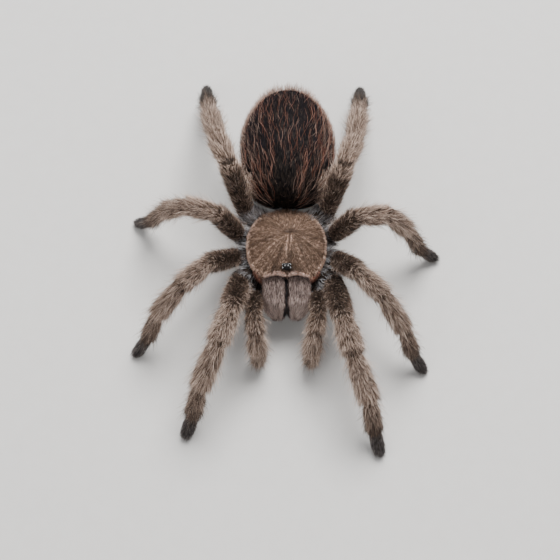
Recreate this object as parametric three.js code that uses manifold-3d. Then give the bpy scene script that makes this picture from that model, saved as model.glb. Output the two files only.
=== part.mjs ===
// A life-size female brown tarantula standing at rest, as a still display model.
// Millimetres, +Z up. The animal faces -Y, so its own left side is at +X. The floor is z = 0.
// Every solid reaches out to the tips of the hair that covers it.

import * as THREE from "three";
import { mergeVertices } from "three/addons/utils/BufferGeometryUtils.js";
import Module from "manifold-3d";

const wasm = await Module();
wasm.setup();

// ---------------------------------------------------------------- driving dimensions

const GAP = 0.3; // between neighbouring pieces
const SLIVER = 0.02; // facets thinner than this are merged into their neighbours
const LEG_LENGTH = 1; // scales every leg and palp piece
const LEG_STOUTNESS = 1; // scales their thickness, hair included
const ROOT_HEIGHT = 8; // of the start of each femur

const CARAPACE = {
  length: 17.6,
  width: 17.5,
  centre: [0, 0.4, 9.7],
  noseUp: 6, // degrees
  rim: 0.9, // thickness at the side margin
  dome: 2.3, // rise of the thoracic part above the rim
  head: 1.5, // further rise of the head part
  face: 1.3, // further thickness of the front margin
};
const FOVEA = { ahead: -0.3, depth: 0.5 }; // a pit in the shield; ahead is a share of half its length
const EYE_MOUND = { width: 2.5, length: 1.9, height: 1.3, fromFront: 2.1, eye: 0.3 };
const CHELICERA = { width: 5, length: 9.8, height: 7.6, centre: [2.68, -12, 8.7], droop: 1.5 };
const FANG = { baseRadius: 0.95, tipRadius: 0.27, bend: 5.2, sweep: 112, foot: [2.6, -15, 5.2] };
const STERNUM = { width: 11, length: 13.4, height: 5.2, centre: [0, 0.8, 6.2] };
const PEDICEL = { radius: 1.5, from: [0, 7.9, 6.8], to: [0, 12.2, 8] };
const ABDOMEN = { length: 29.2, width: 22.4, height: 17.4, centre: [0.3, 24.4, 11.6], noseDown: 3 };
const SPINNERET = { radius: 0.85, length: 5.2, apart: 3.2, from: [0.3, 36, 7.6], pitch: 14, splay: 16 };

// Lengths of femur, patella, tibia, metatarsus and tarsus, and the stoutness of each pair of legs.
const LEG_PAIRS = {
  1: { lengths: [14.6, 8.8, 10.9, 8.6, 6.5], stoutness: 1.04, root: [10.3, -7.2] },
  2: { lengths: [13.2, 8.1, 9.4, 8.4, 6.5], stoutness: 0.93, root: [10.9, -1.4] },
  3: { lengths: [11.6, 7.2, 8.0, 9.9, 6.7], stoutness: 0.91, root: [10.4, 3.8] },
  4: { lengths: [14.6, 7.9, 11.3, 13.6, 7.2], stoutness: 0.97, root: [8.9, 9.4] },
};
const LEG_PIECES = ["femur", "patella", "tibia", "metatarsus", "tarsus"];
const TIP_HEIGHT = -0.05; // of the middle of each leg's tip, so that its pad is pressed flat on the floor

// The stance. Pitch is above the horizon. Heading is seen from above: 0 is the animal's left,
// -90 is forwards. A tarsus has no pitch of its own, because it reaches down to the floor.
const STANCE = {
  left_1: { pitch: [32, 3, -22, -65], heading: [-82, -77, -70, -69, -72] },
  left_2: { pitch: [46, 7, -37, -68], heading: [-61, -50, -50, -46, -41] },
  left_3: { pitch: [65, 18, -53, -70], heading: [-7, -5, -7, -4, -1] },
  left_4: { pitch: [62, -14, -27, -43], heading: [55, 72, 81, 84, 85] },
  right_1: { pitch: [42, 3, -29, -68], heading: [-98, -108, -115, -119, -119] },
  right_2: { pitch: [48, 9, -42, -68], heading: [-134, -134, -141, -144, -143] },
  right_3: { pitch: [65, 11, -47, -65], heading: [176, 171, 162, 153, 153] },
  right_4: { pitch: [60, -12, -28, -42], heading: [123, 110, 102, 98, 96] },
};

const PALP = { lengths: [9.0, 5.6, 6.2, 6.0], root: [7, -10, 6.5] };
const PALP_PIECES = ["femur", "patella", "tibia", "tarsus"];
const PALP_STANCE = {
  left: { pitch: [42, 6, -66], heading: [-91, -99, -106, -108] },
  right: { pitch: [43, 6, -68], heading: [-92, -84, -80, -78] },
};

// Half-widths at the start, middle and end of each piece, hair included. A limb is a little
// deeper than it is wide.
const GIRTH = {
  coxa: [2.4, 2.6, 2.35],
  femur: [2.2, 2.55, 2.45],
  patella: [2.45, 2.75, 2.5],
  tibia: [2.45, 2.6, 2.1],
  metatarsus: [2.05, 2.15, 1.75],
  tarsus: [1.75, 1.85, 1.65],
};
const PALP_GIRTH = {
  coxa: [1.75, 1.85, 1.65],
  femur: [1.6, 1.85, 1.85],
  patella: [1.9, 2.15, 2.05],
  tibia: [2.05, 2.2, 1.95],
  tarsus: [1.9, 1.95, 1.6],
};
const DEPTH_TO_WIDTH = { coxa: 1, femur: 1.06, patella: 1.04, tibia: 1.02, metatarsus: 1, tarsus: 0.9 };

const COXA_START = { 1: [3.2, -3.6], 2: [3.4, -0.6], 3: [3.2, 2.6], 4: [2.6, 5.4] };
const COXA_HEIGHT = 6.4;
const MAXILLA_START = [3.4, -5.2, 5.6];

const LIMB_SIDES = 10;
const LIMB_RINGS = 4;
const TIP_RINGS = 6;
const COXA_RINGS = 2;

const HAIR_COLOURS = {
  leg_dark: 0x2b221b,
  leg_light: 0x8d7a66,
  foot: 0x2a2725,
  carapace: 0x80624a,
  abdomen: 0x1c1817,
  chelicera: 0x776a63,
  underside: 0x3b2d24,
  fang: 0x120c0a,
  eye: 0x0a0a0a,
};

// ---------------------------------------------------------------- helpers

const vector = (x, y, z) => new THREE.Vector3(x, y, z);
const radians = THREE.MathUtils.degToRad;
const side = (name) => (name.startsWith("left") ? 1 : -1);

function finish(colour, roughness = 0.85) {
  return new THREE.MeshStandardMaterial({ color: colour, roughness, metalness: 0 });
}

function named(name, geometry, material) {
  const mesh = new THREE.Mesh(geometry, material);
  mesh.name = name;
  return mesh;
}

// A three.js geometry as a solid, and back.
function toSolid(geometry) {
  const plain = geometry.clone();
  plain.deleteAttribute("normal");
  plain.deleteAttribute("uv");
  const merged = mergeVertices(plain, 1e-4);
  const vertProperties = merged.attributes.position.array;
  const triVerts = new Uint32Array(merged.index.array);
  return new wasm.Manifold(new wasm.Mesh({ numProp: 3, vertProperties, triVerts }));
}

function toGeometry(solid) {
  const { vertProperties, triVerts } = solid.simplify(SLIVER).getMesh();
  const geometry = new THREE.BufferGeometry();
  geometry.setAttribute("position", new THREE.BufferAttribute(vertProperties, 3));
  geometry.setIndex(new THREE.BufferAttribute(triVerts, 1));
  return geometry;
}

// A geometry with each side of its outline moved out by the gap.
function grown(geometry) {
  geometry.computeBoundingBox();
  const size = geometry.boundingBox.getSize(new THREE.Vector3());
  const centre = geometry.boundingBox.getCenter(new THREE.Vector3());
  return geometry
    .clone()
    .translate(-centre.x, -centre.y, -centre.z)
    .scale(1 + (2 * GAP) / size.x, 1 + (2 * GAP) / size.y, 1 + (2 * GAP) / size.z)
    .translate(centre.x, centre.y, centre.z);
}

// A geometry moved by the gap in a direction.
function nudged(geometry, ...direction) {
  const shift = vector(...direction).setLength(GAP);
  return geometry.clone().translate(shift.x, shift.y, shift.z);
}

// What is left of a geometry when others are cut away.
function cutBy(geometry, ...others) {
  let solid = toSolid(geometry);
  for (const other of others) solid = solid.subtract(toSolid(other));
  return toGeometry(solid);
}

// Moves every vertex of a geometry by a function that changes the point in place.
function reshaped(geometry, change) {
  const position = geometry.attributes.position;
  const point = new THREE.Vector3();
  for (let i = 0; i < position.count; i++) {
    change(point.fromBufferAttribute(position, i));
    position.setXYZ(i, point.x, point.y, point.z);
  }
  return geometry;
}

// A value along start, middle and end, on a smooth curve.
function along([start, middle, end], t) {
  const bulge = middle - (start + end) / 2;
  return start + (end - start) * t + bulge * Math.sin(Math.PI * t);
}

// ---------------------------------------------------------------- limbs

// The points that a chain of pieces passes through.
function chain(root, lengths, pitches, headings) {
  const points = [vector(...root)];
  lengths.forEach((length, i) => {
    const pitch = radians(pitches[i]);
    const heading = radians(headings[i]);
    const flat = Math.cos(pitch);
    const step = vector(flat * Math.cos(heading), flat * Math.sin(heading), Math.sin(pitch));
    points.push(points[i].clone().addScaledVector(step, length));
  });
  return points;
}

// A leg's points: the tarsus is pitched so that its tip comes down to the floor.
function standing(root, lengths, pitches, headings) {
  const ankle = chain(root, lengths.slice(0, -1), pitches, headings).at(-1);
  const drop = (TIP_HEIGHT - ankle.z) / lengths.at(-1);
  const lastPitch = THREE.MathUtils.radToDeg(Math.asin(Math.max(-1, drop)));
  return chain(root, lengths, [...pitches, lastPitch], headings);
}

// The plane that two pieces of a limb share at a joint, as its normal.
function jointNormal(points, i) {
  const normal = new THREE.Vector3();
  if (i > 0) normal.add(points[i].clone().sub(points[i - 1]).normalize());
  if (i < points.length - 1) normal.add(points[i + 1].clone().sub(points[i]).normalize());
  return normal.normalize();
}

// One piece of a limb, from joint i to joint i + 1. Its ends are mitred on the joint planes,
// half a gap short of them, and the last piece ends in a round pad. No part goes below the floor.
function limbPiece(points, i, { girth, depth, rings, round }) {
  const start = points[i];
  const end = points[i + 1];
  const forward = end.clone().sub(start);
  const length = forward.length();
  forward.normalize();
  const level = points.at(-1).clone().sub(points[0]).setZ(0).normalize();
  const across = vector(-level.y, level.x, 0).projectOnPlane(forward).normalize();
  const upward = forward.clone().cross(across);
  const turned = new THREE.Matrix4().makeBasis(across, upward, forward);
  const toLocal = turned.clone().invert();
  const startNormal = jointNormal(points, i).applyMatrix4(toLocal);
  const endNormal = jointNormal(points, i + 1).applyMatrix4(toLocal);
  const geometry = new THREE.CylinderGeometry(1, 1, 1, LIMB_SIDES, rings).rotateX(Math.PI / 2);

  reshaped(geometry, (p) => {
    const t = p.z + 0.5;
    let half = along(girth, t);
    if (round) half *= padEnd(t);
    p.x *= half;
    p.y *= half * depth;
    const first = (GAP / 2 - p.x * startNormal.x - p.y * startNormal.y) / startNormal.z;
    const tilt = round ? 0 : (GAP / 2 + p.x * endNormal.x + p.y * endNormal.y) / endNormal.z;
    const last = length - tilt;
    p.z = first + (last - first) * (round ? padPlace(t) : t);
    const height = start.z + across.z * p.x + upward.z * p.y + forward.z * p.z;
    if (height < 0) p.y -= height / upward.z;
  });

  const mesh = new THREE.Mesh(geometry);
  mesh.position.copy(start);
  mesh.quaternion.setFromRotationMatrix(turned);
  return mesh;
}

// How the last piece rounds off over its final part, and where its rings stand.
const PAD_START = 0.62;
const PAD_NARROWEST = 0.3;
function padPlace(t) {
  return Math.sin((t * Math.PI) / 2) ** 0.9;
}
function padEnd(t) {
  const into = Math.max(0, (padPlace(t) - PAD_START) / (1 - PAD_START));
  return Math.max(PAD_NARROWEST, Math.sqrt(1 - into ** 2.4));
}

// A mesh's geometry in the body's frame, for cuts and joins.
function placedGeometry(mesh) {
  mesh.updateMatrixWorld(true);
  return mesh.geometry.clone().applyMatrix4(mesh.matrixWorld);
}

function scaled(values, factor) {
  return values.map((value) => value * factor);
}

const legMaterials = {
  coxa: finish(HAIR_COLOURS.underside),
  femur: finish(HAIR_COLOURS.leg_dark),
  patella: finish(HAIR_COLOURS.leg_light),
  tibia: finish(HAIR_COLOURS.leg_light),
  metatarsus: finish(HAIR_COLOURS.leg_light),
  tarsus: finish(HAIR_COLOURS.foot),
};

// The pieces of a limb after its coxa, as named meshes.
function limb(name, pieces, points, girths, stoutness) {
  return pieces.map((piece, i) => {
    const round = i === pieces.length - 1;
    const girth = scaled(girths[piece], stoutness * LEG_STOUTNESS);
    // Joint 0 of the points is the coxa's start, so the femur starts at joint 1.
    const rings = round ? TIP_RINGS : LIMB_RINGS;
    const mesh = limbPiece(points, i + 1, { girth, depth: DEPTH_TO_WIDTH[piece], rings, round });
    mesh.name = `${name}_${piece}`;
    mesh.material = legMaterials[piece];
    return mesh;
  });
}

function coxaPiece(points, girths, stoutness) {
  const girth = scaled(girths.coxa, stoutness * LEG_STOUTNESS);
  return placedGeometry(limbPiece(points, 0, { girth, depth: DEPTH_TO_WIDTH.coxa, rings: COXA_RINGS }));
}

function leg(name) {
  const pair = LEG_PAIRS[name.at(-1)];
  const [x, y] = pair.root;
  const [coxaX, coxaY] = COXA_START[name.at(-1)];
  const { pitch, heading } = STANCE[name];
  const lengths = scaled(pair.lengths, LEG_LENGTH);
  const points = standing([side(name) * x, y, ROOT_HEIGHT], lengths, pitch, heading);
  points.unshift(vector(side(name) * coxaX, coxaY, COXA_HEIGHT));
  return {
    coxa: coxaPiece(points, GIRTH, pair.stoutness),
    meshes: limb(`leg_${name}`, LEG_PIECES, points, GIRTH, pair.stoutness),
  };
}

function palp(name) {
  const [x, y, z] = PALP.root;
  const [startX, startY, startZ] = MAXILLA_START;
  const { pitch, heading } = PALP_STANCE[name];
  const lengths = scaled(PALP.lengths, LEG_LENGTH);
  const points = standing([side(name) * x, y, z], lengths, pitch, heading);
  points.unshift(vector(side(name) * startX, startY, startZ));
  return {
    coxa: coxaPiece(points, PALP_GIRTH, 1),
    meshes: limb(`palp_${name}`, PALP_PIECES, points, PALP_GIRTH, 1),
  };
}

// ---------------------------------------------------------------- body

// How far a super-ellipse reaches from its centre, towards the unit direction (x, y).
function superEllipse(x, y, halfWidth, halfLength, squareness) {
  const across = Math.abs(x / halfWidth) ** squareness;
  const lengthwise = Math.abs(y / halfLength) ** squareness;
  return (across + lengthwise) ** (-1 / squareness);
}

// The shield over the head and chest: squarer at the front, domed, highest over the head.
function carapaceGeometry() {
  const { length, width, centre, noseUp, rim, dome, head, face } = CARAPACE;
  const geometry = new THREE.SphereGeometry(1, 32, 12).rotateX(Math.PI / 2);
  reshaped(geometry, (p) => {
    const out = Math.min(1, Math.hypot(p.x, p.y));
    const [x, y] = out > 1e-6 ? [p.x / out, p.y / out] : [0, 1];
    const reach = out * superEllipse(x, y, width / 2, length / 2, y < 0 ? 3 : 2.2);
    const across = (x * reach) / (width / 2);
    const ahead = (-y * reach) / (length / 2);
    const front = Math.max(0, ahead) ** 2;
    const headRise = head * Math.exp(-((ahead - 0.45) ** 2) / 0.22 - across ** 2 / 0.3);
    const pit = FOVEA.depth * Math.exp(-((ahead - FOVEA.ahead) ** 2) / 0.012 - across ** 2 / 0.05);
    const edge = rim + face * front;
    const top = edge + (dome + headRise - 0.5 * face * front) * (1 - out ** 2.6) - pit;
    const onEdge = Math.abs(p.z) < 1e-6;
    p.set(x * reach, y * reach, onEdge ? edge / 2 : p.z > 0 ? top : 0);
  });
  return geometry.rotateX(-radians(noseUp)).translate(...centre);
}

// The low mound near the front of the shield, with its eight eyes as small domes.
function eyeMoundGeometry(carapace) {
  const { width, length, height, fromFront, eye } = EYE_MOUND;
  const y = CARAPACE.centre[1] - CARAPACE.length / 2 + fromFront;
  const top = highestPoint(carapace, 0, y);
  const mound = new THREE.SphereGeometry(1, 12, 6).scale(width / 2, length / 2, height);
  let solid = toSolid(mound);
  for (const [across, ahead, up] of EYE_PLACES) {
    const bead = new THREE.IcosahedronGeometry(eye);
    bead.translate((across * width) / 2, (-ahead * length) / 2, up * height);
    solid = solid.add(toSolid(bead));
  }
  const placed = toGeometry(solid).translate(0, y, top - height * 0.25);
  return cutBy(placed, grown(carapace));
}

// Eye places on the mound, as shares of its half-width, half-length and height.
const EYE_PLACES = [-1, 1].flatMap((s) => [
  [0.36 * s, 0.3, 0.84],
  [0.84 * s, 0.55, 0.42],
  [0.86 * s, -0.35, 0.4],
  [0.6 * s, -0.3, 0.68],
]);

// The height of a geometry's highest vertex within a short way of (x, y).
function highestPoint(geometry, x, y, within = 1) {
  const position = geometry.attributes.position;
  let highest = -Infinity;
  for (let i = 0; i < position.count; i++) {
    const away = Math.hypot(position.getX(i) - x, position.getY(i) - y);
    if (away < within) highest = Math.max(highest, position.getZ(i));
  }
  return highest;
}

// A jaw base: a bean that droops towards its front, flat on its inner side.
function cheliceraGeometry(s) {
  const { width, length, height, centre, droop } = CHELICERA;
  const geometry = new THREE.SphereGeometry(1, 14, 8).rotateX(Math.PI / 2);
  reshaped(geometry, (p) => {
    const ahead = (1 - p.y) / 2;
    const fullness = 1 - 0.14 * ahead ** 2;
    const inner = p.x * s < 0;
    p.x = Math.sign(p.x) * Math.abs(p.x) ** (inner ? 0.55 : 0.8) * (inner ? 1 : fullness);
    p.z = Math.sign(p.z) * Math.abs(p.z) ** 0.86 * fullness;
    p.set(p.x * width * 0.5, p.y * length * 0.5, p.z * height * 0.5 - droop * ahead ** 2);
  });
  return geometry.translate(s * centre[0], centre[1], centre[2]);
}

// A fang: a tapered horn that curls down and back under its jaw.
function fangGeometry(s) {
  const { baseRadius, tipRadius, bend, sweep, foot } = FANG;
  const geometry = new THREE.CylinderGeometry(1, 1, 1, 8, 7).rotateX(Math.PI / 2);
  reshaped(geometry, (p) => {
    const t = p.z + 0.5;
    const half = baseRadius + (tipRadius - baseRadius) * t ** 0.8;
    const angle = radians(sweep * t);
    const reach = bend + p.y * half;
    // The horn's centre line is an arc about a point behind its foot.
    const y = bend - reach * Math.cos(angle);
    p.set(p.x * half - 0.5 * t * s, y, -reach * Math.sin(angle) * 0.42);
  });
  return geometry.translate(s * foot[0], foot[1], foot[2]);
}

function sternumGeometry() {
  const { width, length, height, centre } = STERNUM;
  const geometry = new THREE.SphereGeometry(1, 16, 8).rotateX(Math.PI / 2);
  reshaped(geometry, (p) => {
    const behind = (1 + p.y) / 2;
    const narrowing = 1 - 0.25 * behind ** 2;
    p.z = Math.sign(p.z) * Math.abs(p.z) ** 0.6;
    p.set(p.x * width * 0.5 * narrowing, p.y * length * 0.5, p.z * height * 0.5);
  });
  return geometry.translate(...centre);
}

// The underside of the chest with the bases of the legs and palps, which grow from it.
function sternumAndCoxae(coxae, carapace) {
  let solid = toSolid(sternumGeometry());
  for (const coxa of coxae) solid = solid.add(toSolid(coxa));
  return cutBy(toGeometry(solid), grown(carapace));
}

function pedicelGeometry(abdomen) {
  const from = vector(...PEDICEL.from);
  const to = vector(...PEDICEL.to);
  const rod = new THREE.CylinderGeometry(PEDICEL.radius, PEDICEL.radius, from.distanceTo(to), 10);
  const slope = Math.atan2(to.z - from.z, to.y - from.y);
  rod.rotateX(slope).translate(...from.lerp(to, 0.5));
  return cutBy(rod, grown(abdomen));
}

// The abdomen: an egg that narrows towards the waist.
function abdomenGeometry() {
  const { length, width, height, centre, noseDown } = ABDOMEN;
  const geometry = new THREE.SphereGeometry(1, 24, 14).rotateX(Math.PI / 2);
  reshaped(geometry, (p) => {
    const ahead = (1 - p.y) / 2;
    const narrowing = 1 - 0.17 * ahead ** 1.6;
    const belly = p.z < 0 ? 0.94 : 1;
    p.set(p.x * width * 0.5 * narrowing, p.y * length * 0.5, p.z * height * 0.5 * narrowing * belly);
  });
  return geometry.rotateX(radians(noseDown)).translate(...centre);
}

// One of the two long spinnerets: a blunt jointed finger at the rear.
function spinneretGeometry(s, abdomen) {
  const { radius, length, apart, from, pitch, splay } = SPINNERET;
  const geometry = new THREE.CylinderGeometry(1, 1, 1, 8, 6).rotateX(-Math.PI / 2);
  reshaped(geometry, (p) => {
    const t = p.z + 0.5;
    const waist = 1 - 0.12 * Math.abs(Math.sin(3 * Math.PI * t));
    const half = radius * waist * (1 - 0.45 * t ** 3);
    p.set(p.x * half, p.y * half, t * length);
  });
  geometry.rotateX(radians(-90 + pitch)).rotateZ(radians(-splay) * s);
  geometry.translate(from[0] + (s * apart) / 2, from[1], from[2]);
  return cutBy(geometry, grown(abdomen));
}

// ---------------------------------------------------------------- assembly

function buildTarantula() {
  const body = new THREE.Group();
  const carapace = carapaceGeometry();
  const abdomen = abdomenGeometry();
  const legs = Object.keys(STANCE).map(leg);
  const palps = Object.keys(PALP_STANCE).map(palp);
  const coxae = [...legs, ...palps].map((each) => each.coxa);
  const sternum = sternumAndCoxae(coxae, carapace);

  const brown = finish(HAIR_COLOURS.carapace, 0.8);
  const black = finish(HAIR_COLOURS.abdomen, 0.9);
  body.add(named("carapace", carapace, brown));
  body.add(named("eye_mound", eyeMoundGeometry(carapace), finish(HAIR_COLOURS.eye, 0.3)));
  body.add(named("sternum_and_coxae", sternum, legMaterials.coxa));
  body.add(named("abdomen", abdomen, black));
  body.add(named("pedicel", pedicelGeometry(abdomen), legMaterials.coxa));

  for (const [name, s] of [["left", 1], ["right", -1]]) {
    const whole = cheliceraGeometry(s);
    const jaw = cutBy(whole, grown(carapace), nudged(sternum, -s, -1, 0.6));
    body.add(named(`chelicera_${name}`, jaw, finish(HAIR_COLOURS.chelicera)));
    const fang = cutBy(fangGeometry(s), grown(whole));
    body.add(named(`fang_${name}`, fang, finish(HAIR_COLOURS.fang, 0.25)));
    body.add(named(`spinneret_${name}`, spinneretGeometry(s, abdomen), black));
  }
  for (const { meshes } of [...legs, ...palps]) body.add(...meshes);
  return body;
}

// The origin is on the floor under the middle of the animal's whole outline.
const tarantula = new THREE.Group();
const body = buildTarantula();
const outline = new THREE.Box3().setFromObject(body, true);
const middle = outline.getCenter(new THREE.Vector3());
body.position.set(-middle.x, -middle.y, 0);
tarantula.add(body);

export default tarantula;
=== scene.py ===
"""A life-size brown tarantula at rest: skin, shield, jaws, eyes, fangs, claws and its coat of hair."""

import math

import bmesh
import bpy
import numpy as np
from mathutils import Matrix, Vector
from mathutils.bvhtree import BVHTree


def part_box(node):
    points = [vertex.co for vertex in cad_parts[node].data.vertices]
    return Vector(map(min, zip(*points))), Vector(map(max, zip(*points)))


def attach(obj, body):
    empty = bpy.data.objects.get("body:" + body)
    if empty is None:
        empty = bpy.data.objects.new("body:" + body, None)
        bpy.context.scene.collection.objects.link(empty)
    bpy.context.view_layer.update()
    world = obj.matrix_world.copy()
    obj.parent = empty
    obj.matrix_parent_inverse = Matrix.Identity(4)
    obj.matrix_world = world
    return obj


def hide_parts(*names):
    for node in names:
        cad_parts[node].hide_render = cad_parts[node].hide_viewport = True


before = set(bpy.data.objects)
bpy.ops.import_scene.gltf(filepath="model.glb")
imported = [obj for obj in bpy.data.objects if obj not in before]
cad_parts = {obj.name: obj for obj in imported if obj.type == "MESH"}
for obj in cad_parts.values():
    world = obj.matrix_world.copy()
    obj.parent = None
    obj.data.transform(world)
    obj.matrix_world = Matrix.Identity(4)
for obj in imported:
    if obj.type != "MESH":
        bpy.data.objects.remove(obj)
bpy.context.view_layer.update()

MM = 0.001
FORWARD = Vector((0, -1, 0))
UP = Vector((0, 0, 1))
rng = np.random.default_rng(11)  # every random draw comes from here, in one order

SIDES = ("left", "right")
LEG_PIECES = ("femur", "patella", "tibia", "metatarsus", "tarsus")
PALP_PIECES = ("femur", "patella", "tibia", "tarsus")
LIMBS = {f"leg_{side}_{pair}": LEG_PIECES for side in SIDES for pair in (1, 2, 3, 4)}
LIMBS.update({f"palp_{side}": PALP_PIECES for side in SIDES})
LEGS = [name for name in LIMBS if name.startswith("leg")]
PALPS = [name for name in LIMBS if name.startswith("palp")]
BODY_NODES = ["abdomen", "pedicel", "sternum_and_coxae"]
BODY_NODES += [f"{part}_{side}" for part in ("chelicera", "spinneret") for side in SIDES]
LIMB_NODES = [f"{limb}_{piece}" for limb, pieces in LIMBS.items() for piece in pieces]


def ramp(value, start, end):
    """Rises evenly from 0 at the start to 1 at the end, and stays there; the end may be the lower."""
    return np.clip((value - start) / (end - start), 0, 1)


def bell(value, width):
    """1 where the value is 0, and falling smoothly to next to nothing at twice the width."""
    return np.exp(-((value / width) ** 2))


# ---------------------------------------------------------------- reading the solids


def corners(node):
    """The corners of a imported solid, each once."""
    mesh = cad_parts[node].data
    places = np.empty(len(mesh.vertices) * 3)
    mesh.vertices.foreach_get("co", places)
    return np.unique(np.round(places.reshape(-1, 3), 6), axis=0)


def middle(node):
    low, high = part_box(node)
    return (low + high) / 2


def facing_corners(node, other, reach=0.75 * MM):
    """The corners of a node that lie against another node."""
    own, others = corners(node), corners(other)
    apart = np.linalg.norm(own[:, None] - others[None], axis=2).min(axis=1)
    return own[apart < reach]


def limb_joints(limb):
    """The middles of a limb's joints, from its root to its tip."""
    nodes = [f"{limb}_{piece}" for piece in LIMBS[limb]]
    joints = [facing_corners(nodes[0], "sternum_and_coxae").mean(axis=0)]
    for node, following in zip(nodes, nodes[1:]):
        ends = facing_corners(node, following), facing_corners(following, node)
        joints.append((ends[0].mean(axis=0) + ends[1].mean(axis=0)) / 2)
    last = corners(nodes[-1])
    far = np.linalg.norm(last - joints[-1], axis=1)
    joints.append(last[np.argsort(far)[-11:]].mean(axis=0))
    return np.array(joints)


def half_width(node, start, end):
    """How far the solid reaches from its axis, half-way along."""
    points = corners(node)
    axis = (end - start) / np.linalg.norm(end - start)
    along = (points - start) @ axis / np.linalg.norm(end - start)
    out = np.linalg.norm(points - start - np.outer((points - start) @ axis, axis), axis=1)
    return np.median(out[(abs(along - 0.5) < 0.3) & (out > 0.3 * MM)])


JOINTS = {limb: limb_joints(limb) for limb in LIMBS}
GAP_MIDDLE = (middle("chelicera_left").x + middle("chelicera_right").x) / 2


def piece_ends(limb, index):
    return JOINTS[limb][index], JOINTS[limb][index + 1]


# ---------------------------------------------------------------- making pieces


def new_object(name, bm):
    """The bmesh as a smooth-shaded object that rides on the body."""
    mesh = bpy.data.meshes.new(name)
    bm.to_mesh(mesh)
    bm.free()
    mesh.shade_smooth()
    piece = bpy.data.objects.new(name, mesh)
    bpy.context.scene.collection.objects.link(piece)
    return piece


def clear_inside(bm):
    """Takes away the discs inside a drawn-out tube, whose edges all have the walls' two faces as well."""
    discs = [face for face in bm.faces if all(len(edge.link_faces) == 3 for edge in face.edges)]
    bmesh.ops.delete(bm, geom=discs, context="FACES_ONLY")
    bmesh.ops.recalc_face_normals(bm, faces=bm.faces)


def drop_specks(piece):
    """Leaves only the largest connected part of a piece."""
    bm = bmesh.new()
    bm.from_mesh(piece.data)
    unseen, parts = set(bm.verts), []
    while unseen:
        part, waiting = [], [unseen.pop()]
        while waiting:
            vert = waiting.pop()
            part.append(vert)
            near = {edge.other_vert(vert) for edge in vert.link_edges} & unseen
            unseen -= near
            waiting += near
        parts.append(part)
    loose = [vert for part in sorted(parts, key=len)[:-1] for vert in part]
    bmesh.ops.delete(bm, geom=loose, context="VERTS")
    bm.to_mesh(piece.data)
    bm.free()


def in_order(bm):
    """The same faces in the order of their places, which Blender's operators leave to chance."""
    rings = []
    for face in bm.faces:
        ring = [vert.co.to_tuple() for vert in face.verts]
        first = ring.index(min(ring))
        rings.append(ring[first:] + ring[:first])
    bm.free()
    ordered = bmesh.new()
    places = sorted({place for ring in rings for place in ring})
    verts = {place: ordered.verts.new(place) for place in places}
    for ring in sorted(rings):
        ordered.faces.new([verts[place] for place in ring])
    return ordered


def dress(piece, material, replaced=()):
    """Finishes a piece: its material, its body, and the solids that it stands for."""
    piece.data.materials.clear()
    piece.data.materials.append(material)
    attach(piece, "root")
    if replaced:
        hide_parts(*replaced)
    return piece


def from_node(node, depth):
    """A bmesh of the solid, drawn in along its normals by a depth."""
    bm = bmesh.new()
    bm.from_mesh(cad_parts[node].data)
    bmesh.ops.remove_doubles(bm, verts=bm.verts, dist=0.002 * MM)
    bm.normal_update()
    moves = [(vert, vert.normal * -depth) for vert in bm.verts]
    for vert, move in moves:
        vert.co += move
    return bm


def rounded(node, depth, levels=2, passes=4, fullness=0.0, front_only=False, egg=0.0, blunt=3):
    """The solid smoothed, at its own size less a depth.

    Fullness squares its shoulders, over the whole or only towards its front, and egg narrows its rear.
    """
    piece = new_object("rounding", from_node(node, 0))
    finer = piece.modifiers.new("finer", "SUBSURF")
    finer.subdivision_type = "SIMPLE"
    finer.levels = finer.render_levels = levels
    bm = baked(piece)
    smooth(bm, passes)
    low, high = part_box(node)
    centre, half = (low + high) / 2, (high - low) / 2
    if fullness:
        for vert in bm.verts:
            share = [abs((vert.co[k] - centre[k]) / half[k]) for k in range(3)]
            out = sum(value**blunt for value in share) ** (1 / blunt)
            full = fullness * min(1, max(0, (centre.y - vert.co.y) / half.y)) if front_only else fullness
            vert.co = centre + (vert.co - centre) * (1 + full * (1 / max(out, 0.1) - 1))
    for vert in bm.verts:
        vert.co.x = centre.x + (vert.co.x - centre.x) * (1 - egg * (vert.co.y - centre.y) / half.y)
    now_low = Vector([min(vert.co[k] for vert in bm.verts) for k in range(3)])
    now_high = Vector([max(vert.co[k] for vert in bm.verts) for k in range(3)])
    now_centre, now_half = (now_low + now_high) / 2, (now_high - now_low) / 2
    scale = Matrix.Diagonal([(half[k] - depth) / now_half[k] for k in range(3)] + [1])
    place = Matrix.Translation(centre) @ scale @ Matrix.Translation(-now_centre)
    bmesh.ops.transform(bm, matrix=place, verts=bm.verts)
    return bm


EVERY_AXIS = {"use_axis_x": True, "use_axis_y": True, "use_axis_z": True}


def smooth(bm, passes):
    for _ in range(passes):
        bmesh.ops.smooth_vert(bm, verts=bm.verts, factor=0.5, **EVERY_AXIS)


def baked(piece):
    """A bmesh of the piece with its modifiers applied; the piece itself is deleted."""
    shown = piece.evaluated_get(bpy.context.evaluated_depsgraph_get())
    bm = bmesh.new()
    bm.from_mesh(shown.to_mesh())
    shown.to_mesh_clear()
    mesh = piece.data
    bpy.data.objects.remove(piece)
    bpy.data.meshes.remove(mesh)
    return bm


def add_bmesh(target, addition):
    """Puts one bmesh's faces into another."""
    mesh = bpy.data.meshes.new("part")
    addition.to_mesh(mesh)
    addition.free()
    target.from_mesh(mesh)
    bpy.data.meshes.remove(mesh)


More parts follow.
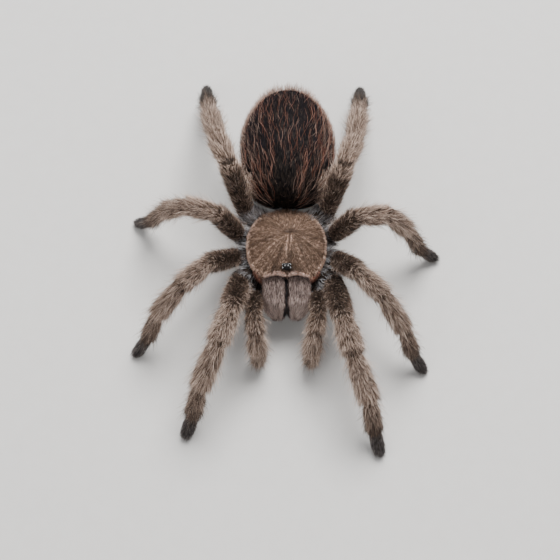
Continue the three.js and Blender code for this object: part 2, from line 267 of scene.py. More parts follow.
def add_tube(bm, stations, sides=16):
    """A closed round tube: a disc drawn out through stations of (centre, direction, half-width)."""
    centre, facing, half = stations[0]
    turn = Vector(facing).to_track_quat("Z", "Y").to_matrix().to_4x4()
    place = Matrix.Translation(centre) @ turn
    disc = bmesh.ops.create_circle(bm, segments=sides, radius=half, cap_ends=True, matrix=place)
    made = list(disc["verts"])
    face = disc["verts"][0].link_faces[0]
    for (old, was, before), (new, now, half) in zip(stations, stations[1:]):
        drawn = bmesh.ops.extrude_face_region(bm, geom=[face])["geom"]
        face = next(item for item in drawn if isinstance(item, bmesh.types.BMFace))
        bend = Vector(was).rotation_difference(Vector(now)).to_matrix().to_4x4()
        grow = Matrix.Scale(half / before, 4)
        move = Matrix.Translation(new) @ bend @ grow @ Matrix.Translation(-Vector(old))
        bmesh.ops.transform(bm, matrix=move, verts=face.verts)
        made += face.verts
    faces = dict.fromkeys(face for vert in made for face in vert.link_faces)
    bmesh.ops.recalc_face_normals(bm, faces=list(faces))


# ---------------------------------------------------------------- skin

VOXEL = 0.36 * MM  # of the skin's mesh
SKIN_DEPTH = {"abdomen": 0.2 * MM, "chelicera": 0.15 * MM, "sternum_and_coxae": 0.5 * MM}
SKIN_SHARE = {"femur": 0.76, "patella": 0.68, "tibia": 0.66, "metatarsus": 0.62, "tarsus": 0.66}
JOINT_WAIST = 0.82  # half-width at a joint, as a share of the thinner neighbour's
FOOT_CLEARANCE = 0.25 * MM  # of the skin above the floor, for the pad's pile
# Places along a piece, and the half-width there as a share of the piece's own.
PIECE_PROFILE = ((0.1, 0.9), (0.34, 1.02), (0.66, 1.03), (0.9, 0.97))
TIP_PROFILE = ((0.12, 0.95), (0.4, 1.02), (0.66, 0.98), (0.84, 0.84), (0.95, 0.5))
# Places along a spinneret, and the half-width there in mm: a finger of three joints.
SPINNERET_PROFILE = ((-0.6, 0.8), (0.0, 0.8), (0.3, 0.66), (0.36, 0.74))
SPINNERET_PROFILE += ((0.62, 0.6), (0.68, 0.66), (0.98, 0.3))

JAW_TAPER = 0.42  # share of a jaw's width that it has lost at its tip, all of it from its outer side
TAPER_START = 0.5  # share of the jaw's length
JAW_SHORTENING = 1.5 * MM  # of the skin at a jaw's tip, for the hair that hangs over it
JAW_ROOT_RISE = 0.9 * MM
# Where the jaw's thick root starts and ends, behind its rear, and its half-width as a share of the jaw's.
JAW_ROOT = ((-3.4 * MM, 0.9), (1.0 * MM, 0.92))
WEB_HALF = 0.32 * MM  # of the thin web low down between the jaws
PEDICEL_HALF = 1.3 * MM
PEDICEL_RUN = ((-3.5, -0.6), (0, 0), (4, 0.6))  # back and up from the waist's middle, in mm


def limb_stations(limb):
    """The tube stations of a limb's bare skin, from inside the body to its tip."""
    joints = [Vector(joint) for joint in JOINTS[limb]]
    pieces = LIMBS[limb]
    halves = []
    for index, piece in enumerate(pieces):
        start, end = piece_ends(limb, index)
        halves.append(half_width(f"{limb}_{piece}", start, end) * SKIN_SHARE[piece])
    headings = [(b - a).normalized() for a, b in zip(joints, joints[1:])]
    inward = Vector((joints[0].x * 0.45, joints[0].y * 0.6, joints[0].z * 0.92))
    stations = [(inward, (joints[0] - inward).normalized(), halves[0])]
    heading_before, half_before = stations[0][1], halves[0]
    for index, heading in enumerate(headings):
        turn = (heading_before + heading).normalized()
        waist = min(half_before, halves[index]) * JOINT_WAIST
        stations.append((joints[index], turn, waist))
        profile = TIP_PROFILE if index == len(pieces) - 1 else PIECE_PROFILE
        for place, share in profile:
            centre = joints[index].lerp(joints[index + 1], place)
            half = halves[index] * share
            if limb in LEGS:
                centre.z = max(centre.z, half + FOOT_CLEARANCE)
            stations.append((centre, heading, half))
        heading_before, half_before = heading, halves[index]
    return stations


def spinneret_stations(side):
    """The tube stations of a spinneret, which grows out of the abdomen's rear."""
    points = corners(f"spinneret_{side}")
    away = np.linalg.norm(points - np.array(middle("abdomen")), axis=1)
    order = np.argsort(away)
    root, tip = points[order[:6]].mean(axis=0), points[order[-6:]].mean(axis=0)
    line = Vector(tip - root)
    heading = line.normalized()
    return [(Vector(root) + line * place, heading, half * MM) for place, half in SPINNERET_PROFILE]


def jaw_form(side):
    """A jaw with square shoulders, narrowed from its outer side towards its fang."""
    jaw = rounded(f"chelicera_{side}", SKIN_DEPTH["chelicera"], passes=6, fullness=1.0, blunt=9)
    low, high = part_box(f"chelicera_{side}")
    inner = low.x if side == "left" else high.x
    for vert in jaw.verts:
        ahead = (high.y - vert.co.y) / (high.y - low.y)
        taper = 1 - JAW_TAPER * max(0, (ahead - TAPER_START) / (1 - TAPER_START)) ** 2.4
        vert.co.x = inner + (vert.co.x - inner) * taper
        vert.co.y += JAW_SHORTENING * ahead
    return jaw


def jaw_root_stations(side):
    """The thick base of a jaw, from its middle back under the shield."""
    centre, (low, high) = middle(f"chelicera_{side}"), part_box(f"chelicera_{side}")
    half = (high.x - low.x) / 2
    height = centre.z + JAW_ROOT_RISE
    return [(Vector((centre.x, high.y + back, height)), -FORWARD, half * share) for back, share in JAW_ROOT]


def jaw_web_stations():
    """A thin web low down between the jaws, so that no light comes up through their gap."""
    low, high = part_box("chelicera_left")
    tall = high.z - low.z
    points = ((high.y - 1.5 * MM, 0.67), ((low.y + high.y) / 2, 0.59), (low.y + 2.6 * MM, 0.4))
    return [(Vector((GAP_MIDDLE, y, low.z + up * tall)), FORWARD, WEB_HALF) for y, up in points]


def waist_stations():
    centre = middle("pedicel")
    return [(centre + Vector((0, back, up)) * MM, -FORWARD, PEDICEL_HALF) for back, up in PEDICEL_RUN]


def make_skin():
    """One skin over the whole animal but the shield, eyes and fangs."""
    whole = bmesh.new()
    for limb in LIMBS:
        add_tube(whole, limb_stations(limb))
    for side in SIDES:
        add_tube(whole, spinneret_stations(side), sides=12)
        add_bmesh(whole, jaw_form(side))
        add_tube(whole, jaw_root_stations(side), sides=20)
    add_tube(whole, jaw_web_stations(), sides=10)
    abdomen = rounded("abdomen", SKIN_DEPTH["abdomen"], passes=8, fullness=0.9, front_only=True, egg=0.1)
    add_bmesh(whole, abdomen)
    add_bmesh(whole, from_node("sternum_and_coxae", SKIN_DEPTH["sternum_and_coxae"]))
    add_tube(whole, waist_stations())
    blank = new_object("skin_blank", whole)
    closing = blank.modifiers.new("closing", "REMESH")
    closing.mode = "VOXEL"
    closing.voxel_size = VOXEL
    skin = baked(blank)
    smooth(skin, 5)
    bmesh.ops.triangulate(skin, faces=skin.faces)
    return new_object("skin", skin)


# ---------------------------------------------------------------- shield

SHIELD_DEPTH = 0.3 * MM
FOVEA = middle("carapace") + Vector((0.8, 2.15, 0)) * MM
PIT_DEPTH = 0.55 * MM
SLANT = 0.085  # how far the midline runs across for each step ahead of the pit
GROOVES = (28, 62, 98, 134)  # degrees from straight ahead, on each side of the shield
GROOVE_DEPTH = 0.2 * MM
GROOVE_WIDTH = 0.5 * MM
MIDLINE = 0.38 * MM  # of the two pale lines, from the middle of the shield
MIDLINE_REACH = 5.0 * MM
FURROW_DEPTH = 0.16 * MM  # of the furrow between the two pale lines
FURROW_REACH = 7.4 * MM
BROW_REACH = 4.9 * MM
BROW_LIP = 0.34 * MM
# How far the shield's front margin stands back, in mm, at places on either side of its middle: an arch over
# each jaw, and corners that reach forwards.
BROW_PLACES = (0, 0.4, 1.2, 2.4, 3.4, 4.5, 5.3, 6.4, 7.5, 9)
BROW_SHAPE = (-0.3, -0.12, 0.12, 0.2, -0.2, -1.0, -1.45, -1.5, -0.8, 0)
BROW_BLEND = 5.0 * MM, 0.4 * MM  # behind the front margin, where it starts to move and moves in full


def from_pit(x, y):
    """How far across from the shield's midline, and ahead of its pit, points lie."""
    ahead = FOVEA.y - y
    return x - FOVEA.x + SLANT * ahead, ahead


def shield_relief(x, y):
    """How far the shield's surface sinks below its smooth dome at (x, y)."""
    across, ahead = from_pit(x, y)
    out = np.hypot(across, ahead)
    angle = np.degrees(np.arctan2(abs(across), ahead))
    fade = ramp(out, 1.2 * MM, 3.2 * MM) * ramp(out, 8.4 * MM, 6.4 * MM)
    sink = np.zeros_like(out)
    for groove in GROOVES:
        sink += GROOVE_DEPTH * bell(np.radians(angle - groove) * out, GROOVE_WIDTH) * fade
    furrow = bell(across, 0.22 * MM) * ramp(ahead, 0, 2 * MM)
    sink += FURROW_DEPTH * furrow * ramp(ahead, FURROW_REACH, FURROW_REACH - MM)
    return sink + PIT_DEPTH * bell(across, 0.6 * MM) * bell(ahead, 0.24 * MM)


def brow_line(x):
    """How far the shield's front margin stands back at x."""
    return np.interp(abs(x - middle("carapace").x) / MM, BROW_PLACES, BROW_SHAPE) * MM


def brow_retreat(x, y):
    """How far points near the shield's front margin move back with it."""
    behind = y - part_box("carapace")[0].y
    return ramp(behind, *BROW_BLEND) ** 1.5 * brow_line(x)


def make_shield():
    """The plate over head and chest, with its pit and the furrows that run out from it."""
    bm = rounded("carapace", SHIELD_DEPTH, levels=3, passes=10)
    bm.normal_update()
    places = np.array([vert.co for vert in bm.verts])
    sink, retreat = shield_relief(places[:, 0], places[:, 1]), brow_retreat(places[:, 0], places[:, 1])
    for vert, down, back in zip(bm.verts, sink, retreat):
        if vert.normal.z > 0.3:
            vert.co.z -= down
        vert.co.y += back
    bmesh.ops.triangulate(bm, faces=bm.faces)
    return new_object("shield", bm)


def brow_stations(plate):
    """A lip's tube along the shield's upper front edge, thin at its ends and in the notch."""
    centre = middle("carapace").x
    facing = (plate.normals[:, 1] < -0.3) & (plate.normals[:, 2] > 0.2) & (plate.normals[:, 2] < 0.9)
    stations = []
    for x in np.linspace(-BROW_REACH, BROW_REACH, 37):
        edge = plate.places[facing & (abs(plate.places[:, 0] - centre - x) < 0.3 * MM)]
        edge = edge[edge[:, 1] < edge[:, 1].min() + 0.6 * MM].mean(axis=0)
        share = abs(x) / BROW_REACH
        half = BROW_LIP * (1 - 0.55 * share**4 - 0.45 * bell(share, 0.07))
        stations.append((Vector((centre + x, edge[1], edge[2])), half))
    headings = [(b[0] - a[0]).normalized() for a, b in zip(stations, stations[1:])]
    headings.append(headings[-1])
    return [(centre, heading, half) for (centre, half), heading in zip(stations, headings)]


def make_lip():
    """The rounded lip along the shield's front edge, over the jaws."""
    tube = bmesh.new()
    add_tube(tube, brow_stations(shield_surface), sides=12)
    clear_inside(tube)
    bmesh.ops.triangulate(tube, faces=tube.faces)
    return new_object("brow", in_order(tube))


# ---------------------------------------------------------------- where hair grows


class Surface:
    """A triangle mesh that hair can be rooted on."""

    def __init__(self, piece):
        mesh = piece.data
        self.places = np.empty(len(mesh.vertices) * 3)
        mesh.vertices.foreach_get("co", self.places)
        self.places = self.places.reshape(-1, 3)
        normals = np.empty(len(mesh.vertices) * 3)
        mesh.vertex_normals.foreach_get("vector", normals)
        self.normals = normals.reshape(-1, 3)
        faces = np.empty(len(mesh.loops), dtype=np.int32)
        mesh.loops.foreach_get("vertex_index", faces)
        self.faces = faces.reshape(-1, 3)
        a, b, c = (self.places[self.faces[:, k]] for k in range(3))
        self.areas = np.linalg.norm(np.cross(b - a, c - a), axis=1) / 2
        self.centres = (a + b + c) / 3

    def scatter(self, chosen, density):
        """Random places on the chosen faces, and the normals there. Density is per mm2."""
        weight = self.areas[chosen] * density
        count = int(weight.sum() / MM**2)
        share = np.cumsum(weight) / weight.sum()
        face = chosen[np.searchsorted(share, rng.random(count)).clip(0, len(chosen) - 1)]
        u, v = rng.random(count), rng.random(count)
        fold = u + v > 1
        u[fold], v[fold] = 1 - u[fold], 1 - v[fold]
        parts = np.stack([1 - u - v, u, v], axis=1)[:, :, None]
        places = (self.places[self.faces[face]] * parts).sum(axis=1)
        return places, unit((self.normals[self.faces[face]] * parts).sum(axis=1))


def unit(vectors):
    return vectors / np.maximum(np.linalg.norm(vectors, axis=1, keepdims=True), 1e-12)


def owners(points, nodes):
    """For each point, the number of the listed node whose surface is nearest."""
    vertices, faces, owner = [], [], []
    for number, node in enumerate(nodes):
        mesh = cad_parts[node].data
        base = len(vertices)
        vertices += [tuple(vert.co) for vert in mesh.vertices]
        faces += [tuple(base + k for k in polygon.vertices) for polygon in mesh.polygons]
        owner += [number] * len(mesh.polygons)
    tree = BVHTree.FromPolygons(vertices, faces)
    return np.array([owner[tree.find_nearest(Vector(point))[2]] for point in points])


def ripple(points, wavelength, seed):
    """A smooth field in about -1 to 1 that wanders over the given wavelength."""
    waves = np.random.default_rng(seed)
    field = np.zeros(len(points))
    for _ in range(6):
        turn = unit(waves.normal(size=(1, 3)))[0] * 2 * math.pi / (wavelength * waves.uniform(0.7, 1.4))
        field += np.sin(points @ turn + waves.uniform(0, 2 * math.pi))
    return field / 2.6


def limb_place(limb, points):
    """Where points lie on a limb: pieces travelled from its root, the lie of the hair, and the way out."""
    joints = JOINTS[limb]
    headings = unit(np.diff(joints, axis=0))
    spans = np.linalg.norm(np.diff(joints, axis=0), axis=1)
    best, travelled = np.full(len(points), np.inf), np.zeros(len(points))
    axis_place = np.zeros((len(points), 3))
    for index, (heading, span) in enumerate(zip(headings, spans)):
        along = np.clip((points - joints[index]) @ heading / span, 0, 0.9999)
        nearest = joints[index] + np.outer(along * span, heading)
        apart = np.linalg.norm(points - nearest, axis=1)
        closer = apart < best
        best[closer], travelled[closer] = apart[closer], index + along[closer]
        axis_place[closer] = nearest[closer]
    index = travelled.astype(int)
    part = travelled - index
    following = np.minimum(index + 1, len(headings) - 1)
    previous = np.maximum(index - 1, 0)
    into_next = 0.5 * ramp(part, 0.8, 1.0)[:, None]
    from_last = 0.5 * ramp(part, 0.2, 0.0)[:, None]
    lie = headings[index] * (1 - into_next - from_last)
    lie = lie + headings[following] * into_next + headings[previous] * from_last
    outward = unit(points - axis_place)
    return travelled, unit(lie), outward


# ---------------------------------------------------------------- strands

SHORT_RINGS = ((0.38, 1.0),)
LONG_RINGS = ((0.28, 1.0), (0.64, 0.8))
DRAPED_RINGS = ((0.18, 1.0), (0.38, 1.0), (0.58, 0.9), (0.79, 0.7))
BAKE_PATCH = 0.003
ROOT_DEPTH = 0.12 * MM  # of a strand's start under the skin
FLOOR_SKIM = 0.02 * MM
# The abdomen's hair fans out from the waist, and lies straight back from this far behind it.
HAIR_POLE = Vector((0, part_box("abdomen")[0].y, middle("pedicel").z))
FAN_REACH = 14 * MM
FAN = 1.5


class Roots:
    """Where tufts stand: place, normal, lie of the hair, place on the unwrapped skin, and paleness."""

    def __init__(self, places, normals, lie, unwrap, pale):
        self.places, self.normals, self.unwrap, self.pale = places, normals, unwrap, pale
        self.lie = unit(lie - (lie * normals).sum(axis=1, keepdims=True) * normals)
        self.side = np.cross(normals, self.lie)
        self.count = len(places)

    def only(self, kept):
        """The roots that are chosen by a mask."""
        every = (self.places, self.normals, self.lie, self.unwrap, self.pale)
        return Roots(*(values[kept] for values in every))


# A tuft: lengths in metres, angles in degrees. Lift is from the skin, and flatten bends the tip down again;
# strands start within spread of the root and gather towards its middle.
PLAIN = {"length": 1.0 * MM, "half": 0.045 * MM, "lift": 28, "flatten": 0.5, "sway": 0.0, "tuft": 4}
PLAIN |= {"spread": 0.12 * MM, "gather": 0.4, "ruffle": 6, "stray": 8, "yaw": 0.0}


class Coat:
    """Tufts of hair, gathered from several patches and made into one mesh."""

    def __init__(self, name, rings=SHORT_RINGS):
        self.name, self.rings = name, rings
        self.vertices, self.marks, self.maps = [], [], []

    def grow(self, roots, **changes):
        """Adds tufts in the plain style but for the changes, each a number or one value per root."""
        style, count = {**PLAIN, **changes}, roots.count
        length, lift = each(style["length"], count), each(style["lift"], count)
        for _ in range(style["tuft"]):
            angle = rng.uniform(0, 2 * math.pi, count)
            out = style["spread"] * np.sqrt(rng.random(count))
            along, aside = (np.cos(angle) * out)[:, None], (np.sin(angle) * out)[:, None]
            offset = roots.lie * along + roots.side * aside
            turn = np.radians(style["yaw"] + style["stray"] * rng.normal(size=count))
            heading = roots.lie * np.cos(turn)[:, None] + roots.side * np.sin(turn)[:, None]
            across = roots.side * np.cos(turn)[:, None] - roots.lie * np.sin(turn)[:, None]
            tilt = np.radians(lift + style["ruffle"] * rng.normal(size=count))
            own = length * rng.uniform(0.7, 1.12, count)
            self._add(roots, offset, heading, across, tilt, own, style)

    def _add(self, roots, offset, heading, across, lift, length, style):
        """One strand at every root."""
        swing = np.radians(each(style["sway"], roots.count))
        place, path, done = roots.places + offset, [], 0.0
        for stop in [stop for stop, _ in self.rings] + [1.0]:
            share = (done + stop) / 2
            tilt, turn = lift * (1 - share * style["flatten"]), swing * (share * 2 - 0.7)
            flat = heading * np.cos(turn)[:, None] + across * np.sin(turn)[:, None]
            step = flat * np.cos(tilt)[:, None] + roots.normals * np.sin(tilt)[:, None]
            place = place + step * (length * (stop - done))[:, None]
            place = place - offset * (style["gather"] * (stop - done))
            path.append(place)
            done = stop
        self._store(roots, roots.places + offset, np.stack(path, axis=1), style["half"])

    def drape(self, roots, length, rise, wave, half):
        """Long strands that wander over the surface on the way of its hair, a little above it."""
        stops = [stop for stop, _ in self.rings] + [1.0]
        paths = np.empty((roots.count, len(stops), 3))
        phases, yaws = rng.uniform(0, 2 * math.pi, roots.count), 7 * rng.normal(size=roots.count)
        lengths = length * rng.uniform(0.6, 1.15, roots.count)
        for number in range(roots.count):
            place, normal = Vector(roots.places[number]), Vector(roots.normals[number])
            done = 0.0
            for index, stop in enumerate(stops):
                fan = FAN * ramp(place.y, HAIR_POLE.y + FAN_REACH, HAIR_POLE.y)
                lie = Vector((0, 1, -0.12)) + (place - HAIR_POLE).normalized() * fan
                lie = (lie - normal * lie.dot(normal)).normalized()
                turn = yaws[number] + wave * math.sin(phases[number] + 5.5 * stop)
                lie.rotate(Matrix.Rotation(math.radians(turn), 3, normal))
                place = place + lie * lengths[number] * (stop - done)
                foot, normal, _, _ = skin_tree.find_nearest(place)
                place = foot + normal * rise * (0.55 + 0.75 * stop)
                paths[number, index] = place
                done = stop
        self._store(roots, roots.places, paths, half)

    def _store(self, roots, starts, paths, half):
        """Keeps strands that run from their starts along their paths, to a point."""
        count, normals = roots.count, roots.normals
        parts, before = [starts - normals * ROOT_DEPTH], starts
        for number, (_, share) in enumerate(self.rings):
            place = paths[:, number]
            step = unit(paths[:, number + 1] - before)
            wide = unit(np.cross(normals, step))
            high = np.cross(step, wide)
            for degrees in (90, 210, 330):
                c, s = math.cos(math.radians(degrees)), math.sin(math.radians(degrees))
                parts.append(place + (wide * c + high * s) * (each(half, count) * share)[:, None])
            before = place
        made = np.stack(parts + [paths[:, -1]], axis=1)
        made[:, :, 2] = np.maximum(made[:, :, 2], FLOOR_SKIM)
        shares = np.array([0.0] + [stop for stop, _ in self.rings for _ in range(3)] + [1.0])
        marks = np.ones((count, len(shares), 4))
        marks[:, :, 0], marks[:, :, 1] = shares, rng.random(count)[:, None]
        marks[:, :, 2] = np.clip(roots.pale, 0, 1)[:, None]
        across_patch = np.array([0.0] + [-0.5, 0.0, 0.5] * len(self.rings) + [0.0])
        patch = np.stack([across_patch, shares - 0.5], axis=1) * BAKE_PATCH
        self.vertices.append(made)
        self.marks.append(marks)
        self.maps.append(roots.unwrap[:, None, :] + patch[None])

    def strand_faces(self):
        """The triangles of one strand: a spindle of three sides."""
        first = [1 + 3 * k for k in range(len(self.rings))]
        tip = 1 + 3 * len(self.rings)
        faces = []
        for near, far in ((0, 1), (1, 2), (2, 0)):
            faces.append((0, first[0] + far, first[0] + near))
            for low, high in zip(first, first[1:]):
                faces.append((low + near, low + far, high + far))
                faces.append((low + near, high + far, high + near))
            faces.append((tip, first[-1] + near, first[-1] + far))
        return np.array(faces)

    def build(self, material, slot):
        """The gathered strands as one finished piece."""
        vertices = np.concatenate(self.vertices)
        count, corners_each = vertices.shape[:2]
        faces = self.strand_faces()[None] + (np.arange(count) * corners_each)[:, None, None]
        faces = faces.reshape(-1, 3)
        mesh = bpy.data.meshes.new(self.name)
        mesh.vertices.add(count * corners_each)
        mesh.vertices.foreach_set("co", vertices.reshape(-1))
        mesh.loops.add(faces.size)
        mesh.loops.foreach_set("vertex_index", faces.reshape(-1).astype(np.int32))
        mesh.polygons.add(len(faces))
        mesh.polygons.foreach_set("loop_start", np.arange(0, faces.size, 3, dtype=np.int32))
        mesh.polygons.foreach_set("use_smooth", np.ones(len(faces), dtype=bool))
        marks = np.concatenate(self.marks).reshape(-1)
        mesh.attributes.new("hair", "FLOAT_COLOR", "POINT").data.foreach_set("color", marks)
        maps = np.concatenate(self.maps).reshape(-1, 2)[faces.reshape(-1)]
        mesh.uv_layers.new(name="OFBake").data.foreach_set("uv", np.clip(maps, 0, 1).reshape(-1))
        mesh.update(calc_edges=True)
        piece = bpy.data.objects.new(self.name, mesh)
        bpy.context.scene.collection.objects.link(piece)
        print(f"{self.name}: {count} strands, {len(faces)} triangles")
        return dress(piece, material)


def each(value, count):
    """A number or an array as an array of the given length."""
    return np.broadcast_to(np.asarray(value, dtype=float), (count,))


def mixed(pale, dark_share, drop, wander):
    """Paleness that differs from tuft to tuft: some much darker, all a little."""
    dark = rng.random(len(pale)) < dark_share
    return np.clip(np.where(dark, pale * drop, pale) + wander * rng.normal(size=len(pale)), 0, 1)


# ---------------------------------------------------------------- coat of the limbs

# The short under-coat of each piece: length in mm, lift, tufts per mm2, and paleness.
LEG_UNDER = {
    "femur": (1.1, 36, 4.5, 0.04),
    "patella": (1.1, 32, 6.0, 0.43),
    "tibia": (1.1, 32, 6.0, 0.43),
    "metatarsus": (1.0, 34, 6.0, 0.36),
    "tarsus": (0.75, 42, 7.5, 0.15),
}
# The longer hair that stands over it, strand by strand.
LEG_GUARD = {
    "femur": (2.1, 34, 16.0, 0.36),
    "patella": (2.8, 28, 18.0, 0.77),
    "tibia": (3.2, 25, 19.0, 0.75),
    "metatarsus": (2.8, 27, 21.0, 0.61),
    "tarsus": (1.4, 34, 28.0, 0.5),
}
# How paleness differs from tuft to tuft: the share of darker ones, what they keep, and the wander of all.
UNDER_BLEND = (0.3, 0.6, 0.06)
PALE_PIECE_BLEND = (0.16, 0.45, 0.1)
FEMUR_BLEND = (0.5, 0.3, 0.1)
STRAY_BLEND = (0.3, 0.5, 0.1)
OVERHANG = 0.9 * MM  # how far a piece's last hairs reach past its joint
UNDERSIDE_THINNING = 0.55
PALP_SCALE, PALP_LIFT = 0.98, 5  # of a palp's hair: its length as a share of a leg's, and its extra lift
# Where a femur's dark hair ends and the pale hair of the knee begins, as a share of the femur.
KNEE_START = {"leg_left_4": 0.72, "leg_right_4": 0.83}
OTHER_KNEE_START = 0.87
KNEE_FADE = 0.06
# What is added to the paleness of each place's hair, where it is at its strongest.
TONE = {"joint": -0.04, "femur": -0.06, "femur_flank": 0.34, "knee": 0.4, "ankle": -0.12}
TONE |= {"foot_top": -0.32, "foot_end": -0.12, "hind_foot": -0.34, "hind_leg": -0.09}
TONE |= {"palp_knee": -0.35, "palp_tip": -0.56}
# The ankles' darkening: its depth, and where along the metatarsus it starts. It takes ANKLE_FADE to deepen.
HIND_ANKLE, OTHER_ANKLE = (0.52, 0.3), (0.3, 0.5)
ANKLE_FADE = 0.35


def limb_shade(limb, travelled, outward):
    """How the paleness of a limb's hair changes along and round it, added to its piece's own."""
    last, hind = len(LIMBS[limb]) - 1, limb[-1] == "4"
    index = travelled.astype(int)
    part = travelled - index
    top = np.clip(outward[:, 2], 0, 1)
    start = KNEE_START.get(limb, OTHER_KNEE_START)
    femur = TONE["femur"] + TONE["femur_flank"] * (1 - top) ** 1.5
    femur += TONE["knee"] * ramp(part, start, start + KNEE_FADE)
    shade = np.where(index == 0, femur, TONE["joint"] * bell(part, 0.1))
    if limb in PALPS:
        shade += np.where(index == 1, TONE["palp_knee"] * (1 - part), 0)
        return shade + np.where(index == last, TONE["palp_tip"] * ramp(part, 0.6, 1.0), 0)
    end = TONE["hind_foot"] if hind else TONE["foot_end"] * ramp(part, 0.2, 0.6)
    shade += np.where(index == last, TONE["foot_top"] * bell(1 - top, 0.05) + end, 0)
    depth, start = HIND_ANKLE if hind else OTHER_ANKLE
    ankle = TONE["ankle"] * part - depth * ramp(part, start, start + ANKLE_FADE)
    shade += np.where(index == last - 1, ankle, 0)
    return shade + np.where((index > 0) & (index < last) & hind, TONE["hind_leg"], 0)


def kind_of(limb, index):
    """The kind of coat on a piece: a palp's last piece has the long hair of a metatarsus."""
    piece = LIMBS[limb][index]
    return "metatarsus" if limb in PALPS and piece == "tarsus" else piece


def limb_unwrap(limb, travelled, outward):
    """The limb's skin opened flat: round it, and along it."""
    around = np.arctan2(outward[:, 0], outward[:, 2]) / (2 * math.pi) + 0.5
    return np.stack([around, travelled / len(LIMBS[limb])], axis=1)


def limb_roots(limb, index, density, pale, blend):
    """Roots on one piece of a limb, thinner on its underside."""
    chosen = faces_of(f"{limb}_{LIMBS[limb][index]}")
    facing = surface.normals[surface.faces[chosen, 0], 2]
    places, normals = surface.scatter(chosen, density * np.where(facing < -0.3, UNDERSIDE_THINNING, 1.0))
    travelled, lie, outward = limb_place(limb, places)
    tone = pale + limb_shade(limb, travelled, outward) + 0.05 * ripple(places, 2.6 * MM, 3)
    tone = mixed(np.clip(tone, 0, 1), *blend)
    return Roots(places, normals, lie, limb_unwrap(limb, travelled, outward), tone)


def grow_limb(coat, limb, pieces):
    """A short dark under-coat, and longer, paler hair along each piece that ends just past its joint."""
    scale, raised = (PALP_SCALE, PALP_LIFT) if limb in PALPS else (1.0, 0)
    for index in pieces:
        piece = kind_of(limb, index)
        length, lift, density, pale = LEG_UNDER[piece]
        roots = limb_roots(limb, index, density, pale, UNDER_BLEND)
        coat.grow(roots, length=length * scale * MM, lift=lift, tuft=3, spread=0.25 * MM, half=0.05 * MM)
        length, lift, density, pale = LEG_GUARD[piece]
        blend = FEMUR_BLEND if piece == "femur" else PALE_PIECE_BLEND
        roots = limb_roots(limb, index, density, pale, blend)
        part = np.clip(roots.unwrap[:, 1] * len(LIMBS[limb]) - index, 0, 1)
        start, end = piece_ends(limb, index)
        room = (1 - part) * np.linalg.norm(end - start) + OVERHANG
        length = length * scale * MM * (0.7 + 0.4 * part) * (1 + 0.08 * ripple(roots.places, 3 * MM, 5))
        lift = lift + raised + 12 * ramp(part, 0.7, 1.0) + 4 * rng.normal(size=roots.count)
        style = {"yaw": 3 * ripple(roots.places, 1.6 * MM, 7), "sway": 5 * rng.normal(size=roots.count)}
        style |= {"half": 0.03 * MM, "tuft": 1, "spread": 0, "stray": 4, "ruffle": 5}
        coat.grow(roots, length=np.minimum(length, room), lift=lift, **style)


def grow_strays(coat, limb):
    """The fine hairs that stand out of a limb's coat and soften its outline."""
    for index in range(4):
        length, _, _, pale = LEG_GUARD[kind_of(limb, index)]
        pale, density = (pale + 0.3, 3.0) if index == 0 else (pale + 0.12, 3.1)
        roots = limb_roots(limb, index, density, pale, STRAY_BLEND)
        sway = 18 * rng.normal(size=roots.count)
        lift = 42 + 9 * rng.normal(size=roots.count)
        coat.grow(roots, length=length * 1.25 * MM, lift=lift, sway=sway, tuft=1, half=0.024 * MM, stray=12)


# ---------------------------------------------------------------- coat of the shield

# The rays of the shield's colour: a seed for where they lie, and how many go round.
RAYS = ((1, 9), (2, 17), (3, 31))
EYE_PATCH = (2.7 * MM, 1.3 * MM)  # half-sizes of the grey patch about the eyes
EYE_PATCH_AHEAD = 0.6 * MM
LIP_DENSITY = 90.6  # tufts per mm2
CORNERS = (4.9 * MM, 7.4 * MM)  # how far from the middle the rusty tufts at the shield's corners stand


def flat_unwrap(points, node):
    """A broad plate's skin opened flat from its middle."""
    low, high = (np.array(corner)[:2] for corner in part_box(node))
    return 0.03 + 0.94 * np.clip((points[:, :2] - low) / (high - low), 0, 1)


def shield_edge(points):
    """How near points are to the shield's margin, where it is 1."""
    low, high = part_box("carapace")
    centre, half = middle("carapace"), (high - low) / 2
    across, along = abs(points[:, 0] - centre.x) / half.x, abs(points[:, 1] - centre.y) / half.y
    return (across**2.6 + along**2.6) ** (1 / 2.6)


def shield_pale(points):
    """Golden brown, with paler rays from the pit, a pale margin, a grey patch at the eyes and a dark pit,
    partly painted shade.
    """
    across, ahead = from_pit(points[:, 0], points[:, 1])
    out = np.hypot(across, ahead)
    angle = np.arctan2(across, ahead)
    rays = np.zeros(len(points))
    for seed, number in RAYS:
        phase = np.random.default_rng(seed).uniform(0, 6, 2)
        rays += np.sin(number * angle + phase[0] + 1.4 * np.sin(2 * angle + phase[1]))
    pale = 0.5 + (0.065 + 0.025 * np.cos(angle)) * rays * ramp(out, 0, 2 * MM)
    for groove in GROOVES:
        off = (abs(np.degrees(angle)) - groove) * out / (14 * MM)
        pale += 0.16 * bell(off - 0.9, 1) - 0.12 * bell(off, 1)
    pale += 0.45 * bell(abs(across) - MIDLINE, 0.17 * MM) * (ahead > 0) * (ahead < MIDLINE_REACH)
    pale -= 0.6 * bell(across, 0.18 * MM) * (ahead > 0) * (ahead < FURROW_REACH)
    pale += 0.38 * ramp(shield_edge(points), 0.93, 0.98)
    eyes = middle("eye_mound") + FORWARD * EYE_PATCH_AHEAD
    patch = bell(points[:, 0] - eyes.x, EYE_PATCH[0]) * bell(points[:, 1] - eyes.y, EYE_PATCH[1])
    # The pit is darkened: partly its bare skin's own dark, partly painted shade in its hollow.
    pit = bell(across, 1.0 * MM) * bell(ahead, 0.45 * MM)
    return np.clip(pale - 0.5 * patch - 0.9 * pit, 0, 1)


